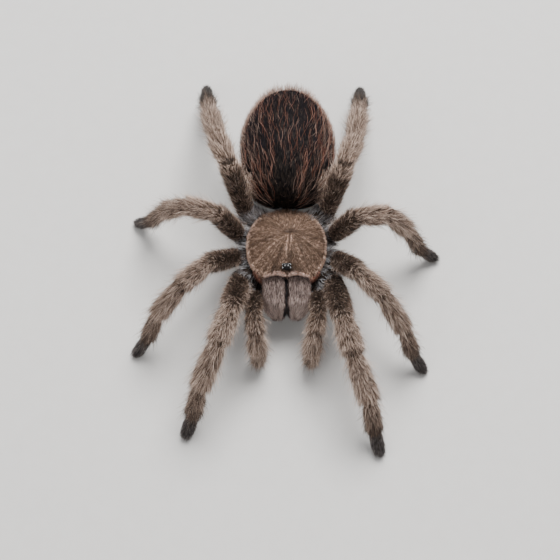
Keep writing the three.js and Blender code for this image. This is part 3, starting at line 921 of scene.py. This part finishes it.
def shield_roots(chosen, density, blend):
    """Roots on chosen faces of the shield, whose hair runs out from the pit."""
    places, normals = shield_surface.scatter(chosen, density)
    across, ahead = from_pit(places[:, 0], places[:, 1])
    across = across - np.clip(across, -0.5 * MM, 0.5 * MM)
    lie = np.stack([across - SLANT * ahead, -ahead, np.zeros(len(places))], axis=1)
    return Roots(places, normals, lie, flat_unwrap(places, "carapace"), mixed(shield_pale(places), *blend))


def grow_shield():
    """Fine hair that lies flat and runs out from the pit, but for the furrow between two pale lines."""
    coat = Coat("coat_shield")
    up = np.flatnonzero(shield_slope > -0.2)
    roots = shield_roots(up, 18.0, (0.25, 0.55, 0.08))
    across, ahead = from_pit(roots.places[:, 0], roots.places[:, 1])
    lines = (abs(across) < MIDLINE + 0.08 * MM) & (ahead > 0) & (ahead < MIDLINE_REACH)
    furrow = (abs(across) < 0.14 * MM) & (ahead > 0) & (ahead < FURROW_REACH)
    pit = (abs(across) < 0.8 * MM) & (abs(ahead) < 0.3 * MM)
    roots = roots.only(~lines & ~furrow & ~pit)
    yaw = 7 * ripple(roots.places, 1.6 * MM, 12)
    coat.grow(roots, length=1.05 * MM, lift=15, yaw=yaw, half=0.03 * MM, tuft=3, spread=0.09 * MM)
    roots = shield_roots(up, 60.0, (0.1, 0.7, 0.05))
    across, ahead = from_pit(roots.places[:, 0], roots.places[:, 1])
    on_line = abs(abs(across) - MIDLINE) < 0.09 * MM
    roots = roots.only(on_line & (ahead > 0.5 * MM) & (ahead < MIDLINE_REACH))
    roots.pale[:] = np.maximum(roots.pale, 0.72)
    coat.grow(roots, length=1.0 * MM, lift=9, stray=3, tuft=2, spread=0.04 * MM, half=0.028 * MM)
    coat.build(shield_hair, "carapace_coat")


def grow_rim():
    """The pale hair round the shield's margin, fine at its sides and rusty at the waist."""
    coat = Coat("fringe_shield")
    edge = (shield_edge(shield_surface.centres) > 0.86) & (abs(shield_slope) < 0.7)
    roots = shield_roots(np.flatnonzero(edge & ~at_front), 20.0, (0.1, 0.6, 0.07))
    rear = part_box("carapace")[1].y
    waist = ramp(roots.places[:, 1], rear - 3.5 * MM, rear - 1.5 * MM)
    roots.lie[:, :] = unit(roots.lie + roots.normals * 0.5)
    roots.pale[:] = np.clip(roots.pale * 0.2 + 0.8 - 0.4 * waist, 0, 1)
    coat.grow(roots, length=(0.8 + 0.45 * waist) * MM, lift=20, stray=16, tuft=3, half=0.036 * MM)
    coat.build(shield_hair, "carapace_coat")


def behind_brow(places):
    """How far places lie behind the shield's front margin."""
    return places[:, 1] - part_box("carapace")[0].y - SHIELD_DEPTH - brow_line(places[:, 0])


def grow_brow():
    """The pale pink brow over the jaws: short hair on the shield's front edge and on its lip."""
    coat = Coat("coat_brow")
    chosen = np.flatnonzero((shield_slope > -0.1) & (behind_brow(shield_surface.centres) < 1.0 * MM))
    roots = shield_roots(chosen, 56.0, (0.05, 0.75, 0.04))
    roots.lie[:, :] = unit(roots.lie * 0.4 + np.array([0, -1, 0.0]))
    near = ramp(behind_brow(roots.places), 0.85 * MM, 0.5 * MM)
    near *= np.clip((5.9 * MM - abs(roots.places[:, 0])) / MM, 0.3, 1)
    roots = roots.only(rng.random(roots.count) < near)
    roots.pale[:] = mixed(np.full(roots.count, 0.74), 0.2, 0.5, 0.12)
    coat.grow(roots, length=0.5 * MM, lift=30, stray=14, tuft=2, half=0.034 * MM, gather=0.1)
    lip_surface = Surface(lip)
    places, normals = lip_surface.scatter(np.arange(len(lip_surface.faces)), LIP_DENSITY)
    lie = np.tile(np.array([0.0, -1.0, 0.0]), (len(places), 1))
    lie[:, 0] = 0.6 * np.sign(places[:, 0] - middle("carapace").x)
    pale = mixed(np.full(len(places), 0.9), 0.2, 0.55, 0.12)
    roots = Roots(places, normals, lie, flat_unwrap(places, "carapace"), pale)
    coat.grow(roots, length=0.5 * MM, lift=24, stray=12, tuft=2, half=0.03 * MM, spread=0.06 * MM)
    coat.build(brow_hair, "carapace_coat")


def grow_under_brow():
    """Dark hair on the wall under the brow, and rusty tufts at the corners beside the jaws."""
    coat = Coat("hair_under_brow")
    wall = np.flatnonzero((shield_slope < 0.3) & (shield_slope > -0.8) & at_front)
    roots = shield_roots(wall, 22.0, (0.2, 0.5, 0.05))
    roots.lie[:, :] = unit(roots.lie * 0.3 + np.array([0, -0.5, -1]))
    roots.pale[:] = 0.1
    coat.grow(roots, length=1.1 * MM, lift=38, stray=16, tuft=3, half=0.036 * MM)
    coat.build(chest_hair, "carapace_coat")

    tufts = Coat("tufts_at_corners")
    roots = shield_roots(wall, 40.0, (0.2, 0.5, 0.05))
    across = abs(roots.places[:, 0])
    roots = roots.only((across > CORNERS[0]) & (across < CORNERS[1]))
    roots.lie[:, :] = unit(roots.lie * 0.3 + np.array([0, -1, -0.5]))
    roots.pale[:] = mixed(np.full(roots.count, 0.7), 0.3, 0.5, 0.1)
    tufts.grow(roots, length=1.2 * MM, lift=40, stray=16, tuft=2, half=0.03 * MM)
    tufts.build(rust_hair, "carapace_coat")


# ---------------------------------------------------------------- coat of the jaws and chest

SIGN = {"left": 1, "right": -1}  # of x, on the animal's two sides
GAP = 0.36 * MM  # half the width of the gap between the jaws, which widens towards both its ends
GAP_AT_ROOT, GAP_AT_TIP = 0.7 * MM, 0.3 * MM
JAW_PALE = 0.65


def jaw_pale(places, normals, ahead, inner):
    """Grey-brown streaks along a jaw, darker at its root, its tip and its underside, and darker towards the
    gap, where the darkening is painted shade.
    """
    streaks = ripple(places * np.array([1, 0.08, 1]), 0.45 * MM, 21)
    pale = JAW_PALE + 0.11 * streaks + 0.3 * ramp(ahead, 0.5, 0.8) - 0.4 * ramp(ahead, 0.92, 1.02)
    pale -= 0.5 * ramp(ahead, 0.2, 0.08) + 0.3 * np.clip(-normals[:, 2], 0, 1)
    # Painted shade: hair towards the gap between the jaws is darkened.
    return pale - 3 * inner * np.clip(normals[:, 2] * 3, 0.3, 1)


def grow_jaws():
    """Fine hair that lies forwards along each jaw, and black hair in the gap between them, painted shade
    for the dark gap.
    """
    coat, dark = Coat("coat_jaws"), Coat("painted_shade_hair_between_jaws")
    for number, side in enumerate(SIDES):
        node = f"chelicera_{side}"
        centre, (low, high) = middle(node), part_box(node)
        places, normals = surface.scatter(faces_of(node), 50.0)
        ahead = (high.y - places[:, 1]) / (high.y - low.y)
        lie = np.tile(np.array([0.0, -1.0, -0.12]), (len(places), 1))
        lie[:, 2] -= 0.9 * np.clip(ahead - 0.6, 0, 1)
        inner = np.clip(-normals[:, 0] * SIGN[side] - 0.5, 0, 0.5)
        around = np.arctan2(places[:, 0] - centre.x, places[:, 2] - centre.z) / (2 * math.pi) + 0.5
        unwrap = np.stack([(number + 0.02 + 0.96 * around) / 2, ahead], axis=1)
        pale = mixed(jaw_pale(places, normals, ahead, inner), 0.3, 0.55, 0.06)
        every = Roots(places, normals, lie, unwrap, pale)
        gap = GAP + GAP_AT_ROOT * ramp(ahead, 0.22, 0) + GAP_AT_TIP * ramp(ahead, 0.8, 1)
        within = abs(places[:, 0] - GAP_MIDDLE) < gap
        # The hair over the gap is black: painted shade there.
        dark.grow(every.only(within), length=1.2 * MM, lift=16, half=0.028 * MM, tuft=1, spread=0, stray=4)
        roots, inner = every.only(~within), inner[~within]
        outer = np.clip((roots.places[:, 0] - centre.x) * SIGN[side] / (high.x - low.x), 0, 0.5)
        length = (1.9 - 0.7 * np.clip(2 * inner, 0, 1)) * MM
        style = {"lift": 16 + 12 * outer + 10 * inner, "yaw": 2 * ripple(roots.places, 2 * MM, 22)}
        style |= {"flatten": 0.9, "half": 0.028 * MM, "tuft": 1, "spread": 0, "stray": 4, "ruffle": 5}
        coat.grow(roots, length=length, **style)
    coat.build(jaw_hair, "jaw_coat")
    dark.build(velvet, "jaw_coat")


def grow_chest():
    """Dark hair under the body, and pale wisps about the roots of the legs."""
    chosen = np.concatenate([faces_of("sternum_and_coxae"), faces_of("pedicel")])
    low, high = (np.array(corner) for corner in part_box("sternum_and_coxae"))
    centre = (low + high) / 2
    facing = surface.normals[surface.faces[chosen, 0], 2]
    places, normals = surface.scatter(chosen, np.where(facing < -0.2, 2.0, 5.5))
    lie = places - centre
    lie[:, 2] = 0.2 * MM
    out = np.hypot(places[:, 0] - centre[0], places[:, 1] - centre[1])
    share = (places - low) / (high - low)
    unwrap = np.stack([np.where(normals[:, 2] > 0, 0.5, 0) + 0.5 * share[:, 0], share[:, 1]], axis=1)
    behind = ramp(places[:, 1] - centre[1], 4 * MM, 7 * MM)
    wisp = (ripple(places, 2.2 * MM, 31) > 0.3 - behind) * ramp(out, 7 * MM, 9 * MM)
    wisp = wisp * np.clip(normals[:, 2] * 2 + 1, 0, 1)
    roots = Roots(places, normals, lie, unwrap, mixed(0.1 + 0.5 * wisp, 0.4, 0.35, 0.1))
    coat = Coat("coat_chest")
    length = (1.4 + 0.6 * wisp + 0.7 * wisp * behind) * MM
    style = {"lift": 34 + 10 * wisp, "yaw": 16 * ripple(places, 1.5 * MM, 32), "stray": 18, "gather": 0.8}
    coat.grow(roots, length=length, half=0.026 * MM, tuft=5, **style)
    coat.build(chest_hair, "underside_coat")

    wisps = Coat("wisps_at_leg_roots", LONG_RINGS)
    sheaves = (ripple(places, 1.8 * MM, 33) > 0.1) & (normals[:, 2] > -0.1) & (out > 6.5 * MM)
    roots.pale[:] = mixed(np.full(roots.count, 0.88), 0.25, 0.5, 0.12)
    roots = roots.only(sheaves)
    style = {"sway": 20 * rng.normal(size=roots.count), "stray": 16, "tuft": 2, "spread": 0.2 * MM}
    wisps.grow(roots, length=2.5 * MM, lift=26, half=0.022 * MM, **style)
    wisps.build(wisp_hair, "underside_coat")


# ---------------------------------------------------------------- coat of the abdomen


def abdomen_roots(density, pale, blend):
    """Roots over the abdomen and spinnerets, whose hair runs back from the waist as meridians do."""
    chosen = np.concatenate([faces_of(node) for node in ("abdomen", "spinneret_left", "spinneret_right")])
    places, normals = surface.scatter(chosen, density)
    low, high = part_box("abdomen")
    centre = (low + high) / 2
    around = np.arctan2(places[:, 0] - centre.x, places[:, 2] - centre.z) / (2 * math.pi) + 0.5
    rear = ramp(places[:, 1], low.y, high.y)
    fan = FAN * ramp(places[:, 1], HAIR_POLE.y + FAN_REACH, HAIR_POLE.y)[:, None]
    lie = np.array([0.0, 1.0, -0.15]) + unit(places - np.array(HAIR_POLE)) * fan
    unwrap = np.stack([around, rear], axis=1)
    return Roots(places, normals, lie, unwrap, mixed(np.full(len(places), pale), *blend)), rear


def grow_velvet():
    """The black pile of the abdomen, a little paler towards its rear; its bluish grey is partly painted
    sheen.
    """
    pile = Coat("coat_abdomen")
    # The pile's paleness is partly a painted sheen, standing in for the sky's glint on the black pile.
    roots, rear = abdomen_roots(21.5, 0.27, (0.12, 0.6, 0.04))
    fading = np.clip(rear * 2.4, 0.1, 1)
    roots.pale[:] = np.clip(roots.pale * fading + 0.03 * ripple(roots.places, 3 * MM, 41), 0, 1)
    style = {"yaw": 5 * ripple(roots.places, 2.4 * MM, 42), "spread": 0, "tuft": 1, "flatten": 0.8}
    pile.grow(roots, length=1.6 * MM, lift=20, half=0.04 * MM, **style)
    pile.build(velvet, "abdomen_coat")


def grow_long_hairs():
    """Long rusty hairs over the abdomen's back, and fine tan ones along its flanks."""
    back = Coat("hairs_back", DRAPED_RINGS)
    roots, rear = abdomen_roots(0.68, 0.52, (0.35, 0.4, 0.18))
    kept = (roots.normals[:, 2] > 0.0) & (rng.random(roots.count) < 1.05 - 0.75 * rear)
    kept &= (abs(roots.places[:, 0]) > 1.4 * MM) | (rear > 0.15)
    back.drape(roots.only(kept), 6.2 * MM, 0.62 * MM, 20, 0.03 * MM)
    back.build(rust_hair, "abdomen_coat")

    flanks = Coat("hairs_flanks", DRAPED_RINGS)
    roots, rear = abdomen_roots(1.0, 0.46, (0.4, 0.45, 0.15))
    slope = roots.normals[:, 2]
    kept = (slope < 0.85) & (slope > -0.5) & (rear < 0.85) & (abs(roots.places[:, 0]) > 1.5 * MM)
    kept &= rng.random(roots.count) < 1.1 - 1.2 * rear
    flanks.drape(roots.only(kept), 7.0 * MM, 0.75 * MM, 12, 0.022 * MM)
    flanks.build(tan_hair, "abdomen_coat")


def grow_abdomen_fringe():
    """The pale halo round the abdomen's rear, and a few fine hairs that stand out of its back."""
    fringe = Coat("fringe_abdomen", LONG_RINGS)
    roots, rear = abdomen_roots(13.0, 0.68, (0.35, 0.55, 0.14))
    slope = roots.normals[:, 2]
    chance = np.clip((rear - 0.42) / 0.35, 0.05, 1) * ramp(slope, 0.68, 0.18)
    chance *= np.clip((slope + 0.75) / 0.6, 0.12, 1)
    kept = (slope < 0.68) & (rear > 0.2) & (rng.random(roots.count) < chance)
    roots, rear, slope = roots.only(kept), rear[kept], slope[kept]
    pole = ramp(rear, 0.8, 0.95) * ramp(slope, -0.3, 0.1)
    length = (1.9 + 0.9 * pole) * rng.uniform(0.6, 1.25, roots.count) * MM
    style = {"sway": 26 * rng.normal(size=roots.count), "flatten": 0.1, "tuft": 2, "stray": 26}
    fringe.grow(roots, length=length, lift=36 + 30 * pole, half=0.028 * MM, **style)
    roots, _ = abdomen_roots(0.7, 0.5, (0.3, 0.5, 0.15))
    roots = roots.only(roots.normals[:, 2] > 0.1)
    style = {"sway": 20 * rng.normal(size=roots.count), "flatten": 0.3, "tuft": 1, "stray": 20}
    fringe.grow(roots, length=2.0 * MM, lift=44, half=0.022 * MM, **style)
    fringe.build(tan_hair, "abdomen_coat")


# ---------------------------------------------------------------- materials


def linear(red, green, blue):
    """A colour in the usual 0 to 255 steps, as the shader's own linear light."""
    steps = [value / 255 for value in (red, green, blue)]
    return tuple(v / 12.92 if v < 0.04045 else ((v + 0.055) / 1.055) ** 2.4 for v in steps) + (1,)


def new_group(name, inputs, outputs):
    group = bpy.data.node_groups.new(name, "ShaderNodeTree")
    for socket, kind in inputs.items():
        group.interface.new_socket(socket, in_out="INPUT", socket_type=kind)
    for socket, kind in outputs.items():
        group.interface.new_socket(socket, in_out="OUTPUT", socket_type=kind)
    nodes = group.nodes
    return group, nodes.new("NodeGroupInput"), nodes.new("NodeGroupOutput")


def math_node(tree, operation, first, second, clamp=False):
    node = tree.nodes.new("ShaderNodeMath")
    node.operation, node.use_clamp = operation, clamp
    for socket, value in zip(node.inputs, (first, second)):
        if isinstance(value, (int, float)):
            socket.default_value = value
        else:
            tree.links.new(value, socket)
    return node.outputs[0]


def mix_node(tree, factor, first, second, blend="MIX"):
    node = tree.nodes.new("ShaderNodeMix")
    node.data_type, node.blend_type = "RGBA", blend
    for socket, value in ((node.inputs[0], factor), (node.inputs[6], first), (node.inputs[7], second)):
        if isinstance(value, (int, float, tuple)):
            socket.default_value = value
        else:
            tree.links.new(value, socket)
    return node.outputs[2]


def hair_group():
    """Colour and roughness of a strand: dark, middle or light by its paleness, dimmer at the root, where
    the dimming is painted shade of the coat's depth.
    """
    inputs = {"Dark": "NodeSocketColor", "Middle": "NodeSocketColor", "Light": "NodeSocketColor"}
    inputs |= {"Matt": "NodeSocketFloat", "Scatter": "NodeSocketFloat"}
    outputs = {"Colour": "NodeSocketColor", "Roughness": "NodeSocketFloat"}
    group, inside, outside = new_group("hair", inputs, outputs)
    mark = group.nodes.new("ShaderNodeAttribute")
    mark.attribute_name = "hair"
    split = group.nodes.new("ShaderNodeSeparateColor")
    group.links.new(mark.outputs["Color"], split.inputs[0])
    along, chance, pale = split.outputs
    wander = math_node(group, "SUBTRACT", chance, 0.5)
    wander = math_node(group, "MULTIPLY", wander, inside.outputs["Scatter"])
    pale = math_node(group, "ADD", pale, wander)
    low = math_node(group, "MULTIPLY", pale, 2.0, clamp=True)
    high = math_node(group, "SUBTRACT", math_node(group, "MULTIPLY", pale, 2.0), 1.0, clamp=True)
    colour = mix_node(group, low, inside.outputs["Dark"], inside.outputs["Middle"])
    colour = mix_node(group, high, colour, inside.outputs["Light"])
    # Painted shade: each strand is dimmed towards its root, as the coat shades itself there.
    painted_root_shade = math_node(group, "ADD", math_node(group, "MULTIPLY", along, 0.4), 0.72)
    shade = group.nodes.new("ShaderNodeCombineColor")
    for socket in shade.inputs[:3]:
        group.links.new(painted_root_shade, socket)
    colour = mix_node(group, 1.0, colour, shade.outputs[0], blend="MULTIPLY")
    group.links.new(colour, outside.inputs["Colour"])
    rough = math_node(group, "ADD", math_node(group, "MULTIPLY", chance, 0.2), inside.outputs["Matt"])
    group.links.new(rough, outside.inputs["Roughness"])
    return group


def hide_group():
    """Matt skin: a mottled colour, a varying roughness and a fine grain for the bump."""
    inputs = {"Deep": "NodeSocketColor", "Raised": "NodeSocketColor", "Grain": "NodeSocketFloat"}
    outputs = {"Colour": "NodeSocketColor", "Roughness": "NodeSocketFloat", "Height": "NodeSocketFloat"}
    group, inside, outside = new_group("hide", inputs, outputs)
    place = group.nodes.new("ShaderNodeTexCoord")
    mottle, grain = group.nodes.new("ShaderNodeTexNoise"), group.nodes.new("ShaderNodeTexNoise")
    mottle.inputs["Scale"].default_value = 700
    mottle.inputs["Detail"].default_value = 4
    grain.inputs["Detail"].default_value = 3
    group.links.new(inside.outputs["Grain"], grain.inputs["Scale"])
    for node in (mottle, grain):
        group.links.new(place.outputs["Object"], node.inputs["Vector"])
    mark = group.nodes.new("ShaderNodeAttribute")
    mark.attribute_name = "marking"
    mottled = math_node(group, "MULTIPLY", mottle.outputs[0], 0.4)
    marked = math_node(group, "MULTIPLY", mark.outputs["Fac"], 0.6)
    share = math_node(group, "ADD", mottled, marked, clamp=True)
    colour = mix_node(group, share, inside.outputs["Deep"], inside.outputs["Raised"])
    group.links.new(colour, outside.inputs["Colour"])
    rough = math_node(group, "ADD", math_node(group, "MULTIPLY", grain.outputs[0], 0.25), 0.45)
    group.links.new(rough, outside.inputs["Roughness"])
    group.links.new(grain.outputs[0], outside.inputs["Height"])
    return group


HAIR = hair_group()
HIDE = hide_group()


def new_material(name):
    material = bpy.data.materials.new(name)
    material.use_nodes = True
    tree = material.node_tree
    return material, tree, tree.nodes["Principled BSDF"]


def group_material(name, group, specular, settings):
    """A material whose colour and roughness come from a node group, set as given."""
    material, tree, shader = new_material(name)
    node = tree.nodes.new("ShaderNodeGroup")
    node.node_tree = group
    for socket, value in settings.items():
        node.inputs[socket].default_value = value
    tree.links.new(node.outputs["Colour"], shader.inputs["Base Color"])
    tree.links.new(node.outputs["Roughness"], shader.inputs["Roughness"])
    shader.inputs["Specular IOR Level"].default_value = specular
    return material, tree, shader, node


def hair_material(name, dark, mid, light, specular=0.3, roughness=0.5, scatter=0.3):
    settings = {"Dark": linear(*dark), "Middle": linear(*mid), "Light": linear(*light)}
    settings |= {"Matt": roughness, "Scatter": scatter}
    return group_material(name, HAIR, specular, settings)[0]


def hide_material(name, deep, raised, grain=4200, bump=0.25):
    settings = {"Deep": linear(*deep), "Raised": linear(*raised), "Grain": grain}
    material, tree, shader, node = group_material(name, HIDE, 0.15, settings)
    relief = tree.nodes.new("ShaderNodeBump")
    relief.inputs["Strength"].default_value = bump
    relief.inputs["Distance"].default_value = 0.05 * MM
    tree.links.new(node.outputs["Height"], relief.inputs["Height"])
    tree.links.new(relief.outputs["Normal"], shader.inputs["Normal"])
    return material


leg_hair = hair_material("leg_hair", (24, 16, 11), (124, 100, 84), (240, 214, 196), scatter=0.6)
foot_hair = hair_material("foot_hair", (26, 23, 23), (120, 111, 108), (212, 200, 194), scatter=0.4)
shield_hair = hair_material("shield_hair", (54, 40, 31), (140, 112, 92), (250, 214, 192), scatter=0.4)
brow_hair = hair_material("brow_hair", (112, 70, 54), (232, 182, 162), (255, 230, 216))
jaw_hair = hair_material("jaw_hair", (30, 22, 20), (144, 123, 116), (232, 210, 200), 0.12, 0.65, 0.6)
# The velvet's bluish-grey middle and light colours are partly painted sheen.
velvet = hair_material("velvet", (9, 7, 7), (46, 44, 49), (98, 92, 94), specular=0.03, roughness=0.8)
rust_hair = hair_material("rust_hair", (40, 26, 21), (138, 82, 61), (210, 166, 148), scatter=0.5)
tan_hair = hair_material("tan_hair", (34, 27, 24), (130, 104, 92), (232, 198, 178))
chest_hair = hair_material("chest_hair", (24, 18, 13), (112, 100, 94), (210, 209, 213))
wisp_hair = hair_material("wisp_hair", (64, 60, 58), (150, 147, 146), (226, 225, 228))
skin_hide = hide_material("skin_hide", (18, 13, 10), (74, 60, 50))
shield_hide = hide_material("shield_hide", (40, 30, 24), (104, 80, 64))
brow_hide = hide_material("brow_hide", (176, 138, 120), (230, 196, 180))

# ---------------------------------------------------------------- assembly

skin = make_skin()
surface = Surface(skin)
skin_tree = BVHTree.FromPolygons(surface.places.tolist(), surface.faces.tolist())
SKIN_NODES = LIMB_NODES + BODY_NODES
owner_of_face = owners(surface.centres, SKIN_NODES)


def faces_of(node):
    """The numbers of the skin's faces that stand for a solid."""
    return np.flatnonzero(owner_of_face == SKIN_NODES.index(node))


def mark(piece, values):
    """Gives a piece's hide its light and dark markings."""
    piece.data.attributes.new("marking", "FLOAT", "POINT").data.foreach_set("value", values)


def skin_marks():
    """The same light and dark markings on the skin as on the coat over it."""
    marks = np.full(len(surface.places), 0.1)
    owner = np.zeros(len(surface.places), dtype=int)
    owner[surface.faces.reshape(-1)] = np.repeat(owner_of_face, 3)
    for limb, pieces in LIMBS.items():
        numbers = [LIMB_NODES.index(f"{limb}_{piece}") for piece in pieces]
        mine = np.flatnonzero(np.isin(owner, numbers))
        travelled, _, outward = limb_place(limb, surface.places[mine])
        tones = np.array([LEG_UNDER[kind_of(limb, index)][3] for index in range(len(pieces))])
        shade = limb_shade(limb, travelled, outward)
        marks[mine] = np.clip(tones[travelled.astype(int)] + shade, 0, 1)
    return marks


mark(skin, skin_marks())
dress(skin, skin_hide, SKIN_NODES)
drop_specks(skin)
shield = make_shield()
shield_surface = Surface(shield)
shield_slope = shield_surface.normals[shield_surface.faces[:, 0], 2]
at_front = shield_surface.centres[:, 1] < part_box("carapace")[0].y + 2.2 * MM
mark(shield, shield_pale(shield_surface.places))
dress(shield, shield_hide, ["carapace"])
lip = dress(make_lip(), brow_hide)

feet = Coat("coat_feet")
strays = Coat("hairs_standing_out", LONG_RINGS)
for limb in LIMBS:
    coat = Coat(f"coat_{limb}")
    grow_limb(coat, limb, range(4))
    coat.build(leg_hair, "leg_coat")
    grow_strays(strays, limb)
for limb in LEGS:
    grow_limb(feet, limb, [4])
feet.build(foot_hair, "foot_coat")
strays.build(leg_hair, "leg_coat")
grow_shield()
grow_rim()
grow_brow()
grow_under_brow()
grow_jaws()
grow_chest()
grow_velvet()
grow_long_hairs()
grow_abdomen_fringe()


# ---------------------------------------------------------------- eyes, fangs and claws

# Each eye: across and ahead on the mound, as shares of its half-size, and its radius in mm.
EYES = ((0.34, 0.35, 0.26), (0.86, 0.62, 0.25), (0.9, -0.28, 0.22), (0.58, -0.36, 0.17))


def gloss_material(name, colour, roughness, coat):
    """Dark horn or eye, faintly mottled, under a clear coat."""
    material, tree, shader = new_material(name)
    noise = tree.nodes.new("ShaderNodeTexNoise")
    place = tree.nodes.new("ShaderNodeTexCoord")
    noise.inputs["Scale"].default_value = 1500
    tree.links.new(place.outputs["Object"], noise.inputs["Vector"])
    paint = mix_node(tree, noise.outputs[0], linear(*colour), linear(*(min(255, c + 14) for c in colour)))
    tree.links.new(paint, shader.inputs["Base Color"])
    rough = math_node(tree, "ADD", math_node(tree, "MULTIPLY", noise.outputs[0], 0.08), roughness)
    tree.links.new(rough, shader.inputs["Roughness"])
    shader.inputs["Coat Weight"].default_value = coat
    shader.inputs["Coat Roughness"].default_value = 0.05
    shader.inputs["Coat IOR"].default_value = 1.5 + coat
    return material


def make_eyes():
    """The low dark mound between the eyes, and eight glossy eyes on it."""
    low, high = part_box("eye_mound")
    centre = middle("eye_mound")
    half = (high - low) / 2
    mound = bmesh.new()
    base = Vector((centre.x, centre.y, low.z))
    shape = Matrix.Translation(base) @ Matrix.Diagonal((half.x * 0.74, half.y * 0.86, half.z * 1.4, 1))
    bmesh.ops.create_uvsphere(mound, u_segments=32, v_segments=20, radius=1, matrix=shape)
    dull = gloss_material("turret", (7, 6, 6), 0.7, 0.0)
    dress(new_object("eye_turret", in_order(mound)), dull, ["eye_mound"])
    beads = bmesh.new()
    for across, ahead, radius in EYES:
        for side in (1, -1):
            x, y = across * side, ahead
            rise = math.sqrt(max(0.04, 1 - 0.8 * (x * x + y * y)))
            place = base + Vector((x * half.x * 0.74, -y * half.y * 0.8, rise * half.z * 1.42))
            bead = {"radius": radius * MM, "matrix": Matrix.Translation(place)}
            bmesh.ops.create_uvsphere(beads, u_segments=18, v_segments=12, **bead)
    dress(new_object("eyes", in_order(beads)), gloss_material("eye_glass", (8, 8, 9), 0.06, 1.0))


def make_fangs():
    """The two fangs, folded under the jaws, and two claws at the tip of each foot."""
    horn = gloss_material("horn", (30, 14, 10), 0.18, 0.6)
    for side in SIDES:
        bm = rounded(f"fang_{side}", 0, passes=3)
        dress(new_object(f"fang_{side}_horn", bm), horn, [f"fang_{side}"])
    claws = bmesh.new()
    for leg in LEGS:
        start, tip = (Vector(point) for point in piece_ends(leg, 4))
        heading = (tip - start).normalized()
        across = heading.cross(UP).normalized()
        for side in (1, -1):
            root = tip + across * side * 0.3 * MM + UP * 0.75 * MM - heading * 0.35 * MM
            bend = (heading * 0.8 - UP * 0.6).normalized()
            stations = [(root, heading, 0.16 * MM), (root + heading * 0.4 * MM, bend, 0.11 * MM)]
            stations.append((stations[-1][0] + bend * 0.35 * MM, -UP * 0.8 + heading * 0.6, 0.03 * MM))
            add_tube(claws, stations, sides=8)
    clear_inside(claws)
    dress(new_object("claws", in_order(claws)), horn)


make_eyes()
make_fangs()

# ---------------------------------------------------------------- floor, light and camera

FLOOR_RADIUS = 1.6
# Each lamp: its place, its size and its power.
LAMPS = {"high_window": ((0.1, 0.32, 0.6), 0.5, 10.0), "fill": ((-0.4, -0.45, 0.4), 0.6, 1.5)}
SKY = (0.93, 0.96, 1.0, 1)
SKY_STRENGTH = 0.55


def make_floor():
    bm = bmesh.new()
    bmesh.ops.create_circle(bm, segments=96, radius=FLOOR_RADIUS, cap_ends=True)
    floor = new_object("floor", bm)
    material, tree, shader = new_material("floor_paper")
    noise = tree.nodes.new("ShaderNodeTexNoise")
    noise.inputs["Scale"].default_value = 300
    paint = mix_node(tree, noise.outputs[0], (0.62, 0.6, 0.575, 1), (0.66, 0.64, 0.615, 1))
    place = tree.nodes.new("ShaderNodeTexCoord")
    tree.links.new(place.outputs["Object"], noise.inputs["Vector"])
    tree.links.new(paint, shader.inputs["Base Color"])
    shader.inputs["Roughness"].default_value = 0.9
    floor.data.materials.append(material)


def add_lamp(name, place, size, power):
    lamp = bpy.data.lights.new(name, "AREA")
    lamp.shape, lamp.size, lamp.energy = "DISK", size, power
    holder = bpy.data.objects.new(name, lamp)
    holder.location = place
    holder.rotation_euler = (-Vector(place)).to_track_quat("-Z", "Y").to_euler()
    bpy.context.scene.collection.objects.link(holder)


def make_light():
    world = bpy.data.worlds.new("soft_room")
    world.use_nodes = True
    world.node_tree.nodes["Background"].inputs["Color"].default_value = SKY
    world.node_tree.nodes["Background"].inputs["Strength"].default_value = SKY_STRENGTH
    bpy.context.scene.world = world
    for name, (place, size, power) in LAMPS.items():
        add_lamp(name, place, size, power)


CAMERA_RISE = 65  # degrees above the horizon
LENS = 85
SENSOR = 36
CAMERA_AWAY = 294.8 * MM
AIM = Vector((-1.45, -7.5, -3.9)) * MM  # from the middle of the shield


def make_camera():
    data = bpy.data.cameras.new("camera")
    data.lens, data.sensor_width = LENS, SENSOR
    data.clip_start, data.clip_end = 0.01, 20
    camera = bpy.data.objects.new("camera", data)
    rise = math.radians(CAMERA_RISE)
    back = Vector((0, -math.cos(rise), math.sin(rise)))
    aim = middle("carapace") + AIM
    camera.location = aim + back * CAMERA_AWAY
    camera.rotation_euler = (-back).to_track_quat("-Z", "Y").to_euler()
    bpy.context.scene.collection.objects.link(camera)
    bpy.context.scene.camera = camera


make_floor()
make_light()
make_camera()
